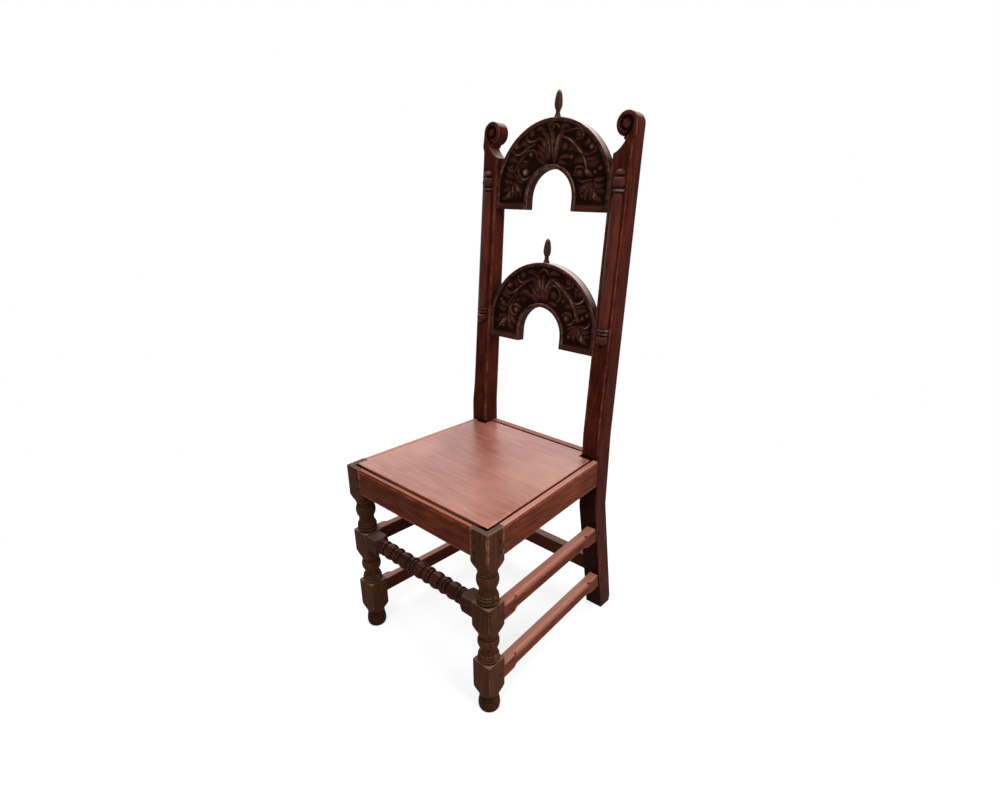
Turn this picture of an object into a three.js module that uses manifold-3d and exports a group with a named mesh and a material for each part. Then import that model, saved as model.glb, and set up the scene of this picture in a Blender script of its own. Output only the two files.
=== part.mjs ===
// Carved backstool in the manner of a joined oak or mahogany dining chair: turned front legs and
// front stretcher, raked rear posts that end in scrolls, and two carved semicircular back rails.
// Millimetres, +Z up, the chair faces -Y. The origin lies on the floor under the middle of the chair.

import * as THREE from "three";
import { mergeVertices } from "three/addons/utils/BufferGeometryUtils.js";
import Module from "manifold-3d";

const wasm = await Module();
wasm.setup();

// The seat frame
const seatHeight = 450;
const frontWidth = 440;
const backWidth = 400;
const seatDepth = 392;
const railHeight = 64;
const railThickness = 26;
const railSetback = 1;
const rearRailThickness = 24;

// The seat board and the rebate that it lies in
const boardMargin = 19;
const boardThickness = 14;
const boardGroove = 8;
const boardNotchGap = 4;
const boardProud = 1.5;
const boardRound = 2;

// The front legs; their turned and square lengths are shares of the seat height
const legSquare = 47;
const legShares = {
  tongue: 0.0667,
  upperTurning: 0.1722,
  middleBlock: 0.1056,
  lowerTurning: 0.15,
  foot: 0.0911,
};
const shoulderBevel = 3;

// The rear posts, one piece each from the floor to the scroll
const postWidth = 46;
const postDepth = 46;
const postTopDepth = 33;
const heelSplay = 60;
const heelDepth = 45;
const heelWearHeight = 14;
const heelWearDepth = 6;
const bendBelowSeat = 130;
const bendAboveSeat = 55;
const backRakeDegrees = 4.9;
const postChamfer = 5;
const postChamferRise = 4;
const postChamferRun = 12;

// The scrolls on the posts, measured along the raked post from its upper bend
const scrollRise = 643;
const scrollRadius = 23.5;
const scrollNeck = 19;
const scrollNeckDrop = 0.5;
const scrollSlope = 30;
const scrollGroove = 3;
const scrollEye = 8;
const scrollTurns = 1.35;

// The two carved arches of the back, measured in the same way
const lowerArchRise = 181.5;
const upperArchRise = 480;
const lowerArchLeg = 29;
const upperArchLeg = 27;
const archRadius = 158;
const archOpening = 61;
const archOpeningDrop = 2.5;
const archThickness = 23;
const archRecess = 3;
const archBorder = 8.5;
const archFootBorder = 13;
const archSunk = 4;

// The finials on the crowns of the arches
const finialHeight = 53;
const finialRadius = 8.6;
const finialDowel = 4.5;
const finialDowelLength = 22;

// The split turnings glued to the fronts of the posts
const splitRise = 208;
const splitLength = 354;
const splitRadius = 13;

// The stretchers
const frontStretcherSquare = 38;
const frontStretcherDrop = 2.5;
const frontStretcherSetback = 1;
const frontStretcherBlock = 38;
const frontStretcherTongue = 13;
const sideStretcherHeight = 36;
const sideStretcherWidth = 24;
const upperStretcherDrop = 14.5;
const lowerStretcherDrop = 21.5;
const rearStretcherHeight = 40;
const rearStretcherWidth = 24;
const rearStretcherRise = 34;
const stretcherChamfer = 8;
const stretcherStop = 34;
const stretcherStopRun = 9;

// Joints: tenons, the pegs through them, and the clearance between the pieces
const tenonThickness = 9;
const railTenonLength = 26;
const railTenonShoulder = 8;
const railTenonTopShoulder = 22;
const stretcherTenonLength = 24;
const stretcherTenonShoulder = 6;
const frontTenonOffset = 6.5;
const archTenonLength = 22;
const archTenonShoulder = 9;
const archTenonHeight = 44;
const pegRadius = 3.5;
const pegInset = 11;
const pegSpacing = 24;
const pegDepth = 30;
const pegProud = 0.6;
const clearance = 0.3;
const tenonGap = 1.2;
const overrun = 12;
const sawReach = 240;

// Facets
const turningFacets = 16;
const stretcherFacets = 12;
const finialFacets = 12;
const pegFacets = 8;
const archFacets = 26;
const scrollFacets = 22;
const voluteSteps = 28;

// Heights of the leg's sections and of the stretchers that meet its blocks
const railBottom = seatHeight - railHeight;
const legTongue = seatHeight * legShares.tongue;
const upperTurning = seatHeight * legShares.upperTurning;
const middleBlock = seatHeight * legShares.middleBlock;
const lowerTurning = seatHeight * legShares.lowerTurning;
const footHeight = seatHeight * legShares.foot;
const middleBlockTop = railBottom - legTongue - upperTurning;
const lowerBlockTop = middleBlockTop - middleBlock - legTongue - lowerTurning;
const lowerBlock = lowerBlockTop - legTongue - footHeight;
const frontStretcherTop = middleBlockTop - frontStretcherDrop;
const upperStretcherTop = middleBlockTop - upperStretcherDrop;
const lowerStretcherTop = lowerBlockTop - lowerStretcherDrop;
const rearStretcherTop = lowerStretcherTop + rearStretcherRise;
const lowerBend = seatHeight - bendBelowSeat;
const upperBend = seatHeight + bendAboveSeat;

// Derived places
const degree = Math.PI / 180;
const rake = backRakeDegrees * degree;
const heelSlope = heelSplay / lowerBend;
const heelBackSlope = (heelSplay + heelDepth - postDepth) / lowerBend;
const rearReach = seatDepth + heelSplay + heelDepth - heelWearHeight * heelBackSlope;
const frontY = (pegProud - rearReach) / 2;
const postY = frontY + seatDepth;
const halfFront = frontWidth / 2;
const halfBack = backWidth / 2;
const halfLeg = legSquare / 2;
const legX = halfFront - halfLeg;
const legY = frontY + halfLeg;
const legBackY = frontY + legSquare;
const postInner = halfBack - postWidth;
const postX = halfBack - postWidth / 2;
const boardBottom = seatHeight + boardProud - boardThickness;

// Finishes
const finishes = {
  seat: { color: 0x9a5848, roughness: 0.38, metalness: 0 },
  rail: { color: 0x6e3426, roughness: 0.5, metalness: 0 },
  leg: { color: 0x43291f, roughness: 0.5, metalness: 0 },
  post: { color: 0x5a2018, roughness: 0.45, metalness: 0 },
  carved: { color: 0x33231c, roughness: 0.55, metalness: 0 },
  peg: { color: 0x3a1f18, roughness: 0.55, metalness: 0 },
};

const chair = new THREE.Group();

// The raked plane of the back: local x across, y into the wood, z along the post from its upper bend
const backPlane = new THREE.Matrix4()
  .makeRotationX(-rake)
  .setPosition(0, postY, upperBend);

// A closed solid from a geometry, with its faces turned outwards
function solidFrom(geometry, placement) {
  const bare = geometry.clone();
  bare.deleteAttribute("normal");
  bare.deleteAttribute("uv");
  const merged = mergeVertices(bare);
  if (placement) {
    merged.applyMatrix4(placement);
  }
  const points = Float32Array.from(merged.attributes.position.array);
  const corners = Uint32Array.from(merged.index.array);
  if (signedVolume(points, corners) < 0) {
    for (let i = 0; i < corners.length; i += 3) {
      [corners[i + 1], corners[i + 2]] = [corners[i + 2], corners[i + 1]];
    }
  }
  const kept = withoutSlivers(corners);
  return new wasm.Manifold(new wasm.Mesh({ numProp: 3, vertProperties: points, triVerts: kept }));
}

// Triangles whose corners have merged into one another are left out
function withoutSlivers(corners) {
  const kept = [];
  for (let i = 0; i < corners.length; i += 3) {
    const [a, b, c] = [corners[i], corners[i + 1], corners[i + 2]];
    if (a !== b && b !== c && c !== a) {
      kept.push(a, b, c);
    }
  }
  return Uint32Array.from(kept);
}

function signedVolume(points, corners) {
  const a = new THREE.Vector3();
  const b = new THREE.Vector3();
  const c = new THREE.Vector3();
  let sum = 0;
  for (let i = 0; i < corners.length; i += 3) {
    a.fromArray(points, corners[i] * 3);
    b.fromArray(points, corners[i + 1] * 3);
    c.fromArray(points, corners[i + 2] * 3);
    sum += a.dot(b.clone().cross(c));
  }
  return sum / 6;
}

// A finished piece goes into the chair as a named mesh
function addPiece(name, solid, finish) {
  const mesh = solid.getMesh();
  const geometry = new THREE.BufferGeometry();
  geometry.setAttribute("position", new THREE.BufferAttribute(mesh.vertProperties, 3));
  geometry.setIndex(new THREE.BufferAttribute(mesh.triVerts, 1));
  geometry.computeVertexNormals();
  const piece = new THREE.Mesh(geometry, new THREE.MeshStandardMaterial(finishes[finish]));
  piece.name = name;
  chair.add(piece);
}

// A block between two corners, placed by a matrix if one is given
function block(low, high, placement) {
  const size = new THREE.Vector3(high[0] - low[0], high[1] - low[1], high[2] - low[2]);
  const geometry = new THREE.BoxGeometry(size.x, size.y, size.z);
  geometry.translate((high[0] + low[0]) / 2, (high[1] + low[1]) / 2, (high[2] + low[2]) / 2);
  return solidFrom(geometry, placement);
}

// A shape drawn in x and y and raised along z
function prism(points, depth, placement) {
  const shape = new THREE.Shape(points.map(([x, y]) => new THREE.Vector2(x, y)));
  const geometry = new THREE.ExtrudeGeometry(shape, { depth, bevelEnabled: false });
  return solidFrom(geometry, placement);
}

// Matrices that lay a drawn outline into the side view (y, z) or the front view (x, z)
function sideView(startX) {
  return new THREE.Matrix4().set(
    0, 0, 1, startX,
    1, 0, 0, 0,
    0, 1, 0, 0,
    0, 0, 0, 1,
  );
}

function frontView(startY) {
  return new THREE.Matrix4().set(
    1, 0, 0, 0,
    0, 0, -1, startY,
    0, 1, 0, 0,
    0, 0, 0, 1,
  );
}

// A turned solid along z from a profile of [radius, height], from the bottom up
function turned(profile, facets, placement) {
  const points = [
    new THREE.Vector2(0, profile[0][1]),
    ...profile.map(([radius, height]) => new THREE.Vector2(radius, height)),
    new THREE.Vector2(0, profile[profile.length - 1][1]),
  ];
  const geometry = new THREE.LatheGeometry(points, facets);
  geometry.rotateX(Math.PI / 2);
  return solidFrom(geometry, placement);
}

// The same solid on the other side of the chair
function mirrored(solid) {
  const mesh = solid.getMesh();
  const points = Float32Array.from(mesh.vertProperties, (value, i) => (i % 3 === 0 ? -value : value));
  const corners = Uint32Array.from(mesh.triVerts);
  for (let i = 0; i < corners.length; i += 3) {
    [corners[i + 1], corners[i + 2]] = [corners[i + 2], corners[i + 1]];
  }
  return new wasm.Manifold(new wasm.Mesh({ numProp: 3, vertProperties: points, triVerts: corners }));
}

// A cut along an edge that leaves a chamfer with a sloping stop at each end
function stoppedChamfer(from, to, outward, chamfer, run, placement) {
  const along = to.clone().sub(from);
  const length = along.length();
  const deep = chamfer * Math.SQRT1_2;
  const outline = [
    [0, 0], [run, -deep], [length - run, -deep], [length, 0], [length, overrun], [0, overrun],
  ];
  const forward = along.normalize();
  const out = outward.clone().normalize();
  const frame = new THREE.Matrix4()
    .makeBasis(forward, out, forward.clone().cross(out))
    .setPosition(from)
    .multiply(liftedTo(-overrun));
  const place = placement ? placement.clone().multiply(frame) : frame;
  return prism(outline, overrun * 2, place);
}

// Turned sections between two square blocks: [share of the way down, share of the half square]
const balusterShares = [
  [0.02, 0.94], [0.035, 0.82], [0.12, 0.81], [0.2, 0.91], [0.29, 0.955], [0.37, 0.92],
  [0.42, 0.86], [0.5, 0.895], [0.57, 0.865], [0.65, 0.79], [0.72, 0.79], [0.76, 0.92],
  [0.81, 0.87], [0.86, 0.975], [0.91, 0.89], [0.97, 0.92],
];

// The foot, from the tongue down to the floor
const footShares = [
  [0.03, 0.87], [0.09, 0.82], [0.16, 0.85], [0.22, 0.9], [0.28, 0.87],
  [0.36, 0.9], [0.52, 0.965], [0.7, 0.99], [0.84, 0.965], [0.94, 0.88], [1, 0.76],
];

// The tongue under a square block: [share of its length, share of the way in from the corner]
const tongueShares = [[0, 0], [0.2, 0.05], [0.4, 0.26], [0.58, 0.58], [0.76, 0.86], [1, 1]];

// Radii that leave a square blank untouched, and the step of a bevelled square shoulder
function cornerRadius(half) {
  return half * Math.SQRT2;
}

// The profile of one front leg from the top down, then turned over
function frontLegProfile() {
  const half = halfLeg;
  const corner = cornerRadius(half);
  const wide = corner + clearance;
  const narrow = half * balusterShares[0][1];
  const ringEnd = half * balusterShares[balusterShares.length - 1][1];
  const points = [[wide, seatHeight]];
  let z = railBottom;
  const tongue = (endRadius) => {
    tongueShares.forEach(([down, inward]) => {
      points.push([wide + (endRadius - wide) * inward, z - legTongue * down]);
    });
    z -= legTongue;
  };
  const baluster = (length) => {
    balusterShares.forEach(([down, share]) => {
      points.push([half * share, z - length * down]);
    });
    z -= length;
  };
  const shoulder = () => {
    points.push([ringEnd, z]);
    points.push([corner - shoulderBevel, z]);
    points.push([wide, z - shoulderBevel]);
  };
  tongue(narrow);
  baluster(upperTurning);
  shoulder();
  z -= middleBlock;
  tongue(narrow);
  baluster(lowerTurning);
  shoulder();
  z -= lowerBlock;
  tongue(half * footShares[0][1]);
  footShares.forEach(([down, share]) => {
    points.push([half * share, z - footHeight * down]);
  });
  return points.reverse();
}

// Tenons as blocks along x or y; a mortise is the same block grown by the clearance
function tenonBlock(low, high, grow, placement) {
  const from = low.map((value) => value - grow);
  const to = high.map((value) => value + grow);
  return block(from, to, placement);
}

// Front rail, side rails and rear rail share one tenon height below the board
const railTenonLow = railBottom + railTenonShoulder;
const railTenonHigh = seatHeight - railTenonTopShoulder;
const frontRailY = frontY + railSetback;
const frontTenonY = frontRailY + railThickness / 2;
const sideTenonX = halfFront - railSetback - railThickness / 2;
const sideTenonBackX = halfBack - railSetback - railThickness / 2;
const rearRailY = postY + postDepth - railSetback - rearRailThickness;
const rearTenonY = rearRailY + rearRailThickness / 2;
const legInner = halfFront - legSquare;
const sideRun = (halfFront - halfBack) / (seatDepth - legSquare);

function frontRailTenon(grow) {
  return tenonBlock(
    [legInner - overrun, frontTenonY - tenonThickness / 2, railTenonLow],
    [legInner + railTenonLength, frontTenonY + tenonThickness / 2, railTenonHigh],
    grow,
  );
}

function rearRailTenon(grow) {
  return tenonBlock(
    [postInner - overrun, rearTenonY - tenonThickness / 2, railTenonLow],
    [postInner + railTenonLength, rearTenonY + tenonThickness / 2, railTenonHigh],
    grow,
  );
}

function sideTenonAtLeg(grow, low, high, length) {
  return tenonBlock(
    [sideTenonX - tenonThickness / 2, legBackY - length, low],
    [sideTenonX + tenonThickness / 2, legBackY + overrun, high],
    grow,
  );
}

function sideTenonAtPost(grow, low, high, length, faceY) {
  return tenonBlock(
    [sideTenonBackX - tenonThickness / 2, faceY - overrun, low],
    [sideTenonBackX + tenonThickness / 2, faceY + length, high],
    grow,
  );
}

// The front face of a rear post at a height, in the plane of the floor plan
function postFaceY(z) {
  if (z < lowerBend) {
    return postY + (lowerBend - z) * heelSlope;
  }
  if (z > upperBend) {
    return postY + (z - upperBend) * Math.tan(rake);
  }
  return postY;
}

// Half the width over the outer faces of the side members, which taper from the legs to the posts
function sideOuterX(y) {
  return halfFront - railSetback - (y - legBackY) * sideRun;
}

const arches = {
  lower: { rise: lowerArchRise, leg: lowerArchLeg },
  upper: { rise: upperArchRise, leg: upperArchLeg },
};

const stretcherLevels = {
  upper: { top: upperStretcherTop },
  lower: { top: lowerStretcherTop },
};

function sideStretcherTenons(level) {
  const low = level.top - sideStretcherHeight + stretcherTenonShoulder;
  const high = level.top - stretcherTenonShoulder;
  return { low, high, faceY: postFaceY(low) };
}

function frontStretcherTenon(grow) {
  const centreY = frontY + frontStretcherSetback + frontStretcherSquare / 2 - frontTenonOffset;
  const centreZ = frontStretcherTop - frontStretcherSquare / 2;
  const half = frontStretcherSquare / 2 - stretcherTenonShoulder;
  return tenonBlock(
    [legInner - overrun, centreY - tenonThickness / 2, centreZ - half],
    [legInner + stretcherTenonLength, centreY + tenonThickness / 2, centreZ + half],
    grow,
  );
}

const rearStretcherY = postFaceY(rearStretcherTop - rearStretcherHeight / 2)
  + (heelDepth - rearStretcherWidth) / 2;

function rearStretcherTenon(grow) {
  const centreY = rearStretcherY + rearStretcherWidth / 2;
  const low = rearStretcherTop - rearStretcherHeight + stretcherTenonShoulder;
  return tenonBlock(
    [postInner - overrun, centreY - tenonThickness / 2, low],
    [postInner + stretcherTenonLength, centreY + tenonThickness / 2,
      rearStretcherTop - stretcherTenonShoulder],
    grow,
  );
}

// Arch tenons lie in the raked plane of the back
function archTenon(rise, grow) {
  const middleY = archRecess + archThickness / 2;
  return tenonBlock(
    [postInner - overrun, middleY - tenonThickness / 2, rise + archTenonShoulder],
    [postInner + archTenonLength, middleY + tenonThickness / 2,
      rise + archTenonShoulder + archTenonHeight],
    grow,
    backPlane,
  );
}

// The depth of the wood behind the face of a raked post, at a height along it
function postDepthAlong(rise) {
  const low = postDepth * Math.sin(rake);
  const high = scrollRise + scrollRadius + overrun;
  const full = postDepth * Math.cos(rake);
  return full + ((postTopDepth - full) * (rise - low)) / (high - low);
}

// Pegs: the centre of each head on its outer face, the way it is driven, and its slope frame
function pegList() {
  const pegs = [];
  const railMiddle = (railTenonLow + railTenonHigh) / 2;
  const pair = [railMiddle + pegSpacing / 2, railMiddle - pegSpacing / 2];
  pair.forEach((z, i) => {
    const half = i === 0 ? "upper" : "lower";
    pegs.push({ name: `peg_front_rail_${half}`, x: legInner + pegInset, y: frontY, z, along: "y" });
    pegs.push({ name: `peg_side_rail_front_${half}`, x: halfFront, y: legBackY - pegInset, z, along: "x" });
    pegs.push({ name: `peg_side_rail_back_${half}`, x: halfBack, y: postY + pegInset, z, along: "x" });
    pegs.push({
      name: `peg_rear_rail_${half}`, x: postInner + pegInset, y: postY + postDepth, z, along: "-y",
    });
  });
  Object.entries(stretcherLevels).forEach(([levelName, level]) => {
    const z = level.top - sideStretcherHeight / 2;
    pegs.push({
      name: `peg_${levelName}_stretcher_front`, x: halfFront, y: legBackY - pegInset, z, along: "x",
    });
    pegs.push({
      name: `peg_${levelName}_stretcher_back`, x: halfBack, y: postFaceY(z) + pegInset, z, along: "x",
    });
  });
  pegs.push({
    name: "peg_front_stretcher", x: legInner + pegInset, y: frontY,
    z: frontStretcherTop - frontStretcherSquare / 2, along: "y",
  });
  Object.entries(arches).forEach(([archName, arch]) => {
    const z = arch.rise + archTenonShoulder + archTenonHeight / 2;
    pegs.push({
      name: `peg_${archName}_arch`, x: postInner + pegInset, y: postDepthAlong(z), z,
      along: "-y", plane: backPlane,
    });
  });
  return pegs;
}

// A peg with a bevelled head; a peg hole is a touch wider and runs out of the face
function pegSolid(peg, grow) {
  const proud = grow > 0 ? overrun : pegProud;
  const profile = [
    [pegRadius + grow, -pegDepth - grow],
    [pegRadius + grow, proud - (grow > 0 ? 0 : pegProud / 2)],
    [pegRadius + grow - (grow > 0 ? 0 : pegProud / 2), proud],
  ];
  const turn = new THREE.Matrix4();
  if (peg.along === "x") {
    turn.makeRotationY(Math.PI / 2);
  } else if (peg.along === "y") {
    turn.makeRotationX(Math.PI / 2);
  } else {
    turn.makeRotationX(-Math.PI / 2);
  }
  turn.setPosition(peg.x, peg.y, peg.z);
  return turned(profile, pegFacets, peg.plane ? peg.plane.clone().multiply(turn) : turn);
}

const pegs = pegList();
const rightHoles = pegs
  .map((peg) => pegSolid(peg, clearance))
  .reduce((all, hole) => all.add(hole));
const pegHoles = rightHoles.add(mirrored(rightHoles));

function drilled(solid) {
  return solid.subtract(pegHoles);
}

// The outline of the seat board: straight at the front and sides, notched round the two posts
function boardHalfWidth(y) {
  return sideOuterX(y) + railSetback - boardMargin;
}

const boardFrontY = frontY + boardMargin;
const boardBackY = rearRailY + rearRailThickness - boardMargin;
const notchX = postInner - boardNotchGap;
const notchY = postY - boardNotchGap;

function boardOutline(grow) {
  const front = boardFrontY - grow;
  const back = boardBackY + grow;
  const notchFront = notchY + grow;
  const notchSide = notchX + grow;
  return [
    [-boardHalfWidth(front) - grow, front], [boardHalfWidth(front) + grow, front],
    [boardHalfWidth(notchFront) + grow, notchFront], [notchSide, notchFront],
    [notchSide, back], [-notchSide, back],
    [-notchSide, notchFront], [-boardHalfWidth(notchFront) - grow, notchFront],
  ];
}

function liftedTo(z) {
  return new THREE.Matrix4().makeTranslation(0, 0, z);
}

// The rebate for the board, cut from the rails and legs, with a groove left open round the board
const rebate = prism(boardOutline(boardGroove - clearance), boardThickness + overrun,
  liftedTo(boardBottom - clearance));

function seatBoard() {
  const body = prism(boardOutline(0), boardThickness - boardRound, liftedTo(boardBottom));
  const top = prism(boardOutline(-boardRound / 2), boardThickness, liftedTo(boardBottom));
  const edge = prism(boardOutline(-boardRound / 6), boardThickness - boardRound / 3,
    liftedTo(boardBottom));
  return body.add(edge).add(top);
}

// One front leg: a square blank cut to the turned profile, then mortised and drilled
function frontLeg() {
  const blank = block([legX - halfLeg, legY - halfLeg, 0], [legX + halfLeg, legY + halfLeg, seatHeight]);
  const place = new THREE.Matrix4().makeTranslation(legX, legY, 0);
  let leg = blank.intersect(turned(frontLegProfile(), turningFacets, place));
  leg = leg.subtract(frontRailTenon(clearance));
  leg = leg.subtract(frontStretcherTenon(clearance));
  leg = leg.subtract(sideTenonAtLeg(clearance, railTenonLow, railTenonHigh, railTenonShortLength));
  Object.values(stretcherLevels).forEach((level) => {
    const { low, high } = sideStretcherTenons(level);
    leg = leg.subtract(sideTenonAtLeg(clearance, low, high, sideStretcherTenonLength));
  });
  return drilled(leg.subtract(rebate));
}

// Side tenons stop short of the front tenons inside the leg
const railTenonShortLength = legBackY - (frontTenonY + tenonThickness / 2) - tenonGap;
const frontStretcherTenonBackY = frontY + frontStretcherSetback + frontStretcherSquare / 2
  + tenonThickness / 2 - frontTenonOffset;
const sideStretcherTenonLength = Math.min(
  stretcherTenonLength, legBackY - frontStretcherTenonBackY - tenonGap);

// The side profile of a rear post: raked heel, upright at the seat, raked and tapered above
function postSideOutline() {
  const top = new THREE.Vector3(0, 0, scrollRise + scrollRadius + overrun).applyMatrix4(backPlane);
  const topBack = new THREE.Vector3(0, postTopDepth, scrollRise + scrollRadius + overrun)
    .applyMatrix4(backPlane);
  const heelFront = postFaceY(0);
  const heelBack = heelFront + heelDepth;
  return [
    [heelFront, 0], [heelBack - heelWearDepth, 0],
    [heelBack - heelWearHeight * heelBackSlope, heelWearHeight],
    [postY + postDepth, lowerBend], [postY + postDepth, upperBend],
    [topBack.y, topBack.z], [top.y, top.z],
    [postY, upperBend], [postY, lowerBend],
  ];
}

// The front outline of the right post: a shoulder inside, a neck, and the scroll curling inwards
function postFrontOutline() {
  const centreX = halfBack - scrollRadius;
  const bottom = -upperBend * 2;
  const neckZ = scrollRise - scrollRadius - scrollNeckDrop;
  const neckX = halfBack - scrollNeck;
  const shoulderZ = neckZ - scrollSlope;
  const points = [[halfBack, bottom], [halfBack, scrollRise]];
  const sweep = Math.PI * 1.5;
  for (let i = 1; i <= scrollFacets; i += 1) {
    const angle = (sweep * i) / scrollFacets;
    points.push([centreX + scrollRadius * Math.cos(angle), scrollRise + scrollRadius * Math.sin(angle)]);
  }
  points.push([neckX, neckZ]);
  slopeShares.forEach(([inward, down]) => {
    points.push([neckX + (postInner - neckX) * inward, neckZ - (neckZ - shoulderZ) * down]);
  });
  points.push([postInner, bottom]);
  return points;
}

// The hollow slope from the neck to the shoulder: [share inwards, share down]
const slopeShares = [[0.1, 0.2], [0.25, 0.42], [0.45, 0.63], [0.7, 0.83], [1, 1]];

// The groove of the volute on the front face, a spiral that winds into an eye
function voluteGroove() {
  const centreX = halfBack - scrollRadius;
  const steps = voluteSteps;
  const points = [];
  for (let i = 0; i <= steps; i += 1) {
    const share = i / steps;
    const angle = -Math.PI / 2 + scrollTurns * 2 * Math.PI * share;
    const radius = scrollRadius + (scrollEye - scrollRadius) * share;
    points.push(new THREE.Vector3(
      centreX + radius * Math.cos(angle), 0, scrollRise + radius * Math.sin(angle)));
  }
  const half = scrollGroove / 2;
  const section = new THREE.Shape([
    new THREE.Vector2(-half, -half), new THREE.Vector2(half, -half),
    new THREE.Vector2(half, half), new THREE.Vector2(-half, half),
  ]);
  const geometry = new THREE.ExtrudeGeometry(section, {
    steps, bevelEnabled: false, extrudePath: new THREE.CatmullRomCurve3(points),
  });
  return solidFrom(geometry, backPlane);
}

function rearPost() {
  const side = prism(postSideOutline(), postWidth + overrun * 2, sideView(postInner - overrun));
  const front = prism(postFrontOutline(), sawReach * 2,
    backPlane.clone().multiply(frontView(sawReach)));
  let post = side.intersect(front);
  post = post.subtract(postEdgeChamfer());
  post = post.subtract(voluteGroove());
  post = post.subtract(rearRailTenon(clearance)).subtract(rearStretcherTenon(clearance));
  post = post.subtract(sideTenonAtPost(clearance, railTenonLow, railTenonHigh, postTenonLength, postY));
  Object.values(stretcherLevels).forEach((level) => {
    const { low, high, faceY } = sideStretcherTenons(level);
    post = post.subtract(sideTenonAtPost(clearance, low, high, postStretcherTenonLength, faceY));
  });
  Object.values(arches).forEach((arch) => {
    post = post.subtract(archTenon(arch.rise, clearance));
  });
  return drilled(post);
}

// In the post the side tenons stop short of the rear rail and rear stretcher tenons
const postTenonLength = rearTenonY - tenonThickness / 2 - tenonGap - postY;
const postStretcherTenonLength = Math.min(stretcherTenonLength, heelDepth / 2);

// The chamfer on the outer front edge of a raked post
function postEdgeChamfer() {
  return stoppedChamfer(
    new THREE.Vector3(halfBack, 0, postChamferRise),
    new THREE.Vector3(halfBack, 0, scrollRise - scrollRadius),
    new THREE.Vector3(1, -1, 0), postChamfer, postChamferRun, backPlane,
  );
}

// One arched rail in the raked plane: a round crest that the posts cut off, and a round-headed opening
function archOutline(margin, leg, foot) {
  const radius = archRadius - margin;
  const reach = postInner - clearance - margin;
  const opening = archOpening + margin;
  const start = Math.acos(reach / radius);
  const outer = [];
  const inner = [];
  for (let i = 0; i <= archFacets; i += 1) {
    const crest = start + ((Math.PI - start * 2) * i) / archFacets;
    const angle = (Math.PI * i) / archFacets;
    outer.push([radius * Math.cos(crest), leg + radius * Math.sin(crest)]);
    inner.push([-opening * Math.cos(angle), leg - archOpeningDrop + opening * Math.sin(angle)]);
  }
  return [[reach, foot], ...outer, [-reach, foot], [-opening, foot], ...inner, [opening, foot]];
}

function archedRail(rise, leg) {
  const place = (depth) => backPlane.clone()
    .multiply(new THREE.Matrix4().makeTranslation(0, 0, rise))
    .multiply(frontView(depth));
  let rail = prism(archOutline(0, leg, 0), archThickness, place(archRecess + archThickness));
  const field = prism(archOutline(archBorder, leg, archFootBorder), archSunk + overrun,
    place(archRecess + archSunk));
  rail = rail.subtract(field);
  const tenon = archTenon(rise, 0);
  rail = rail.add(tenon).add(mirrored(tenon));
  const hole = new THREE.Matrix4().makeTranslation(
    0, archRecess + archThickness / 2, rise + leg + archRadius - finialDowelLength);
  return drilled(rail.subtract(turned(
    [[finialDowel + clearance, -clearance], [finialDowel + clearance, finialDowelLength + overrun]],
    finialFacets, backPlane.clone().multiply(hole))));
}

// The finial: flared foot, two rings, a neck and a pointed bud, on a dowel
const finialShares = [
  [0.86, 0], [0.8, 0.04], [0.68, 0.12], [0.56, 0.14], [0.6, 0.17], [0.52, 0.19], [0.58, 0.22],
  [0.55, 0.25], [0.78, 0.33], [0.95, 0.42], [1, 0.5], [0.95, 0.63], [0.84, 0.75], [0.67, 0.87],
  [0.47, 0.95], [0.12, 1],
];

function finial(rise, leg) {
  const crown = rise + leg + archRadius + clearance;
  const profile = [
    [finialDowel, -finialDowelLength + clearance * 2], [finialDowel, 0],
    ...finialShares.map(([radius, height]) => [finialRadius * radius, finialHeight * height]),
  ];
  const place = new THREE.Matrix4().makeTranslation(0, archRecess + archThickness / 2, crown);
  return turned(profile, finialFacets, backPlane.clone().multiply(place));
}

// The split turning: half of a turned spindle, glued flat to the post
const splitShares = [
  [0.2, 1], [0.6, 0.985], [0.66, 0.97], [0.5, 0.953], [0.72, 0.948], [0.99, 0.928], [0.76, 0.901],
  [0.96, 0.884], [0.74, 0.872], [0.86, 0.84], [0.92, 0.5], [0.84, 0.16], [0.78, 0.12],
  [0.96, 0.108], [0.74, 0.093], [0.96, 0.08], [0.66, 0.069], [0.88, 0.052], [0.8, 0.03],
  [0.5, 0.012], [0.16, 0],
];

function splitTurning() {
  const profile = [...splitShares].reverse()
    .map(([radius, height]) => [splitRadius * radius, splitLength * height]);
  const place = new THREE.Matrix4().makeTranslation(postX, -clearance, splitRise);
  const whole = turned(profile, stretcherFacets, backPlane.clone().multiply(place));
  const half = block([postX - splitRadius * 2, -clearance, splitRise - overrun],
    [postX + splitRadius * 2, splitRadius * 2, splitRise + splitLength + overrun], backPlane);
  return whole.subtract(half);
}

// Turned middle of the front stretcher. The valleys between the bobbins lie at these shares of the
// half length from the centre outwards, and every second bobbin is reeded with two fine grooves.
const valleyShares = [-0.097, 0.097, 0.28, 0.489, 0.664, 0.869];
const plainBobbinShares = [[-1, 0.78], [-0.78, 0.91], [-0.4, 0.985], [0.4, 0.985], [0.78, 0.91]];
const reededBobbinShares = [
  [-1, 0.78], [-0.78, 0.91], [-0.5, 0.965], [-0.35, 0.9], [-0.2, 0.985], [0.2, 0.985], [0.35, 0.9],
  [0.5, 0.965], [0.78, 0.91],
];
const collarShares = [[0.869, 0.78], [0.9, 0.93], [0.935, 0.93], [0.965, 0.86], [1, 0.88]];

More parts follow.
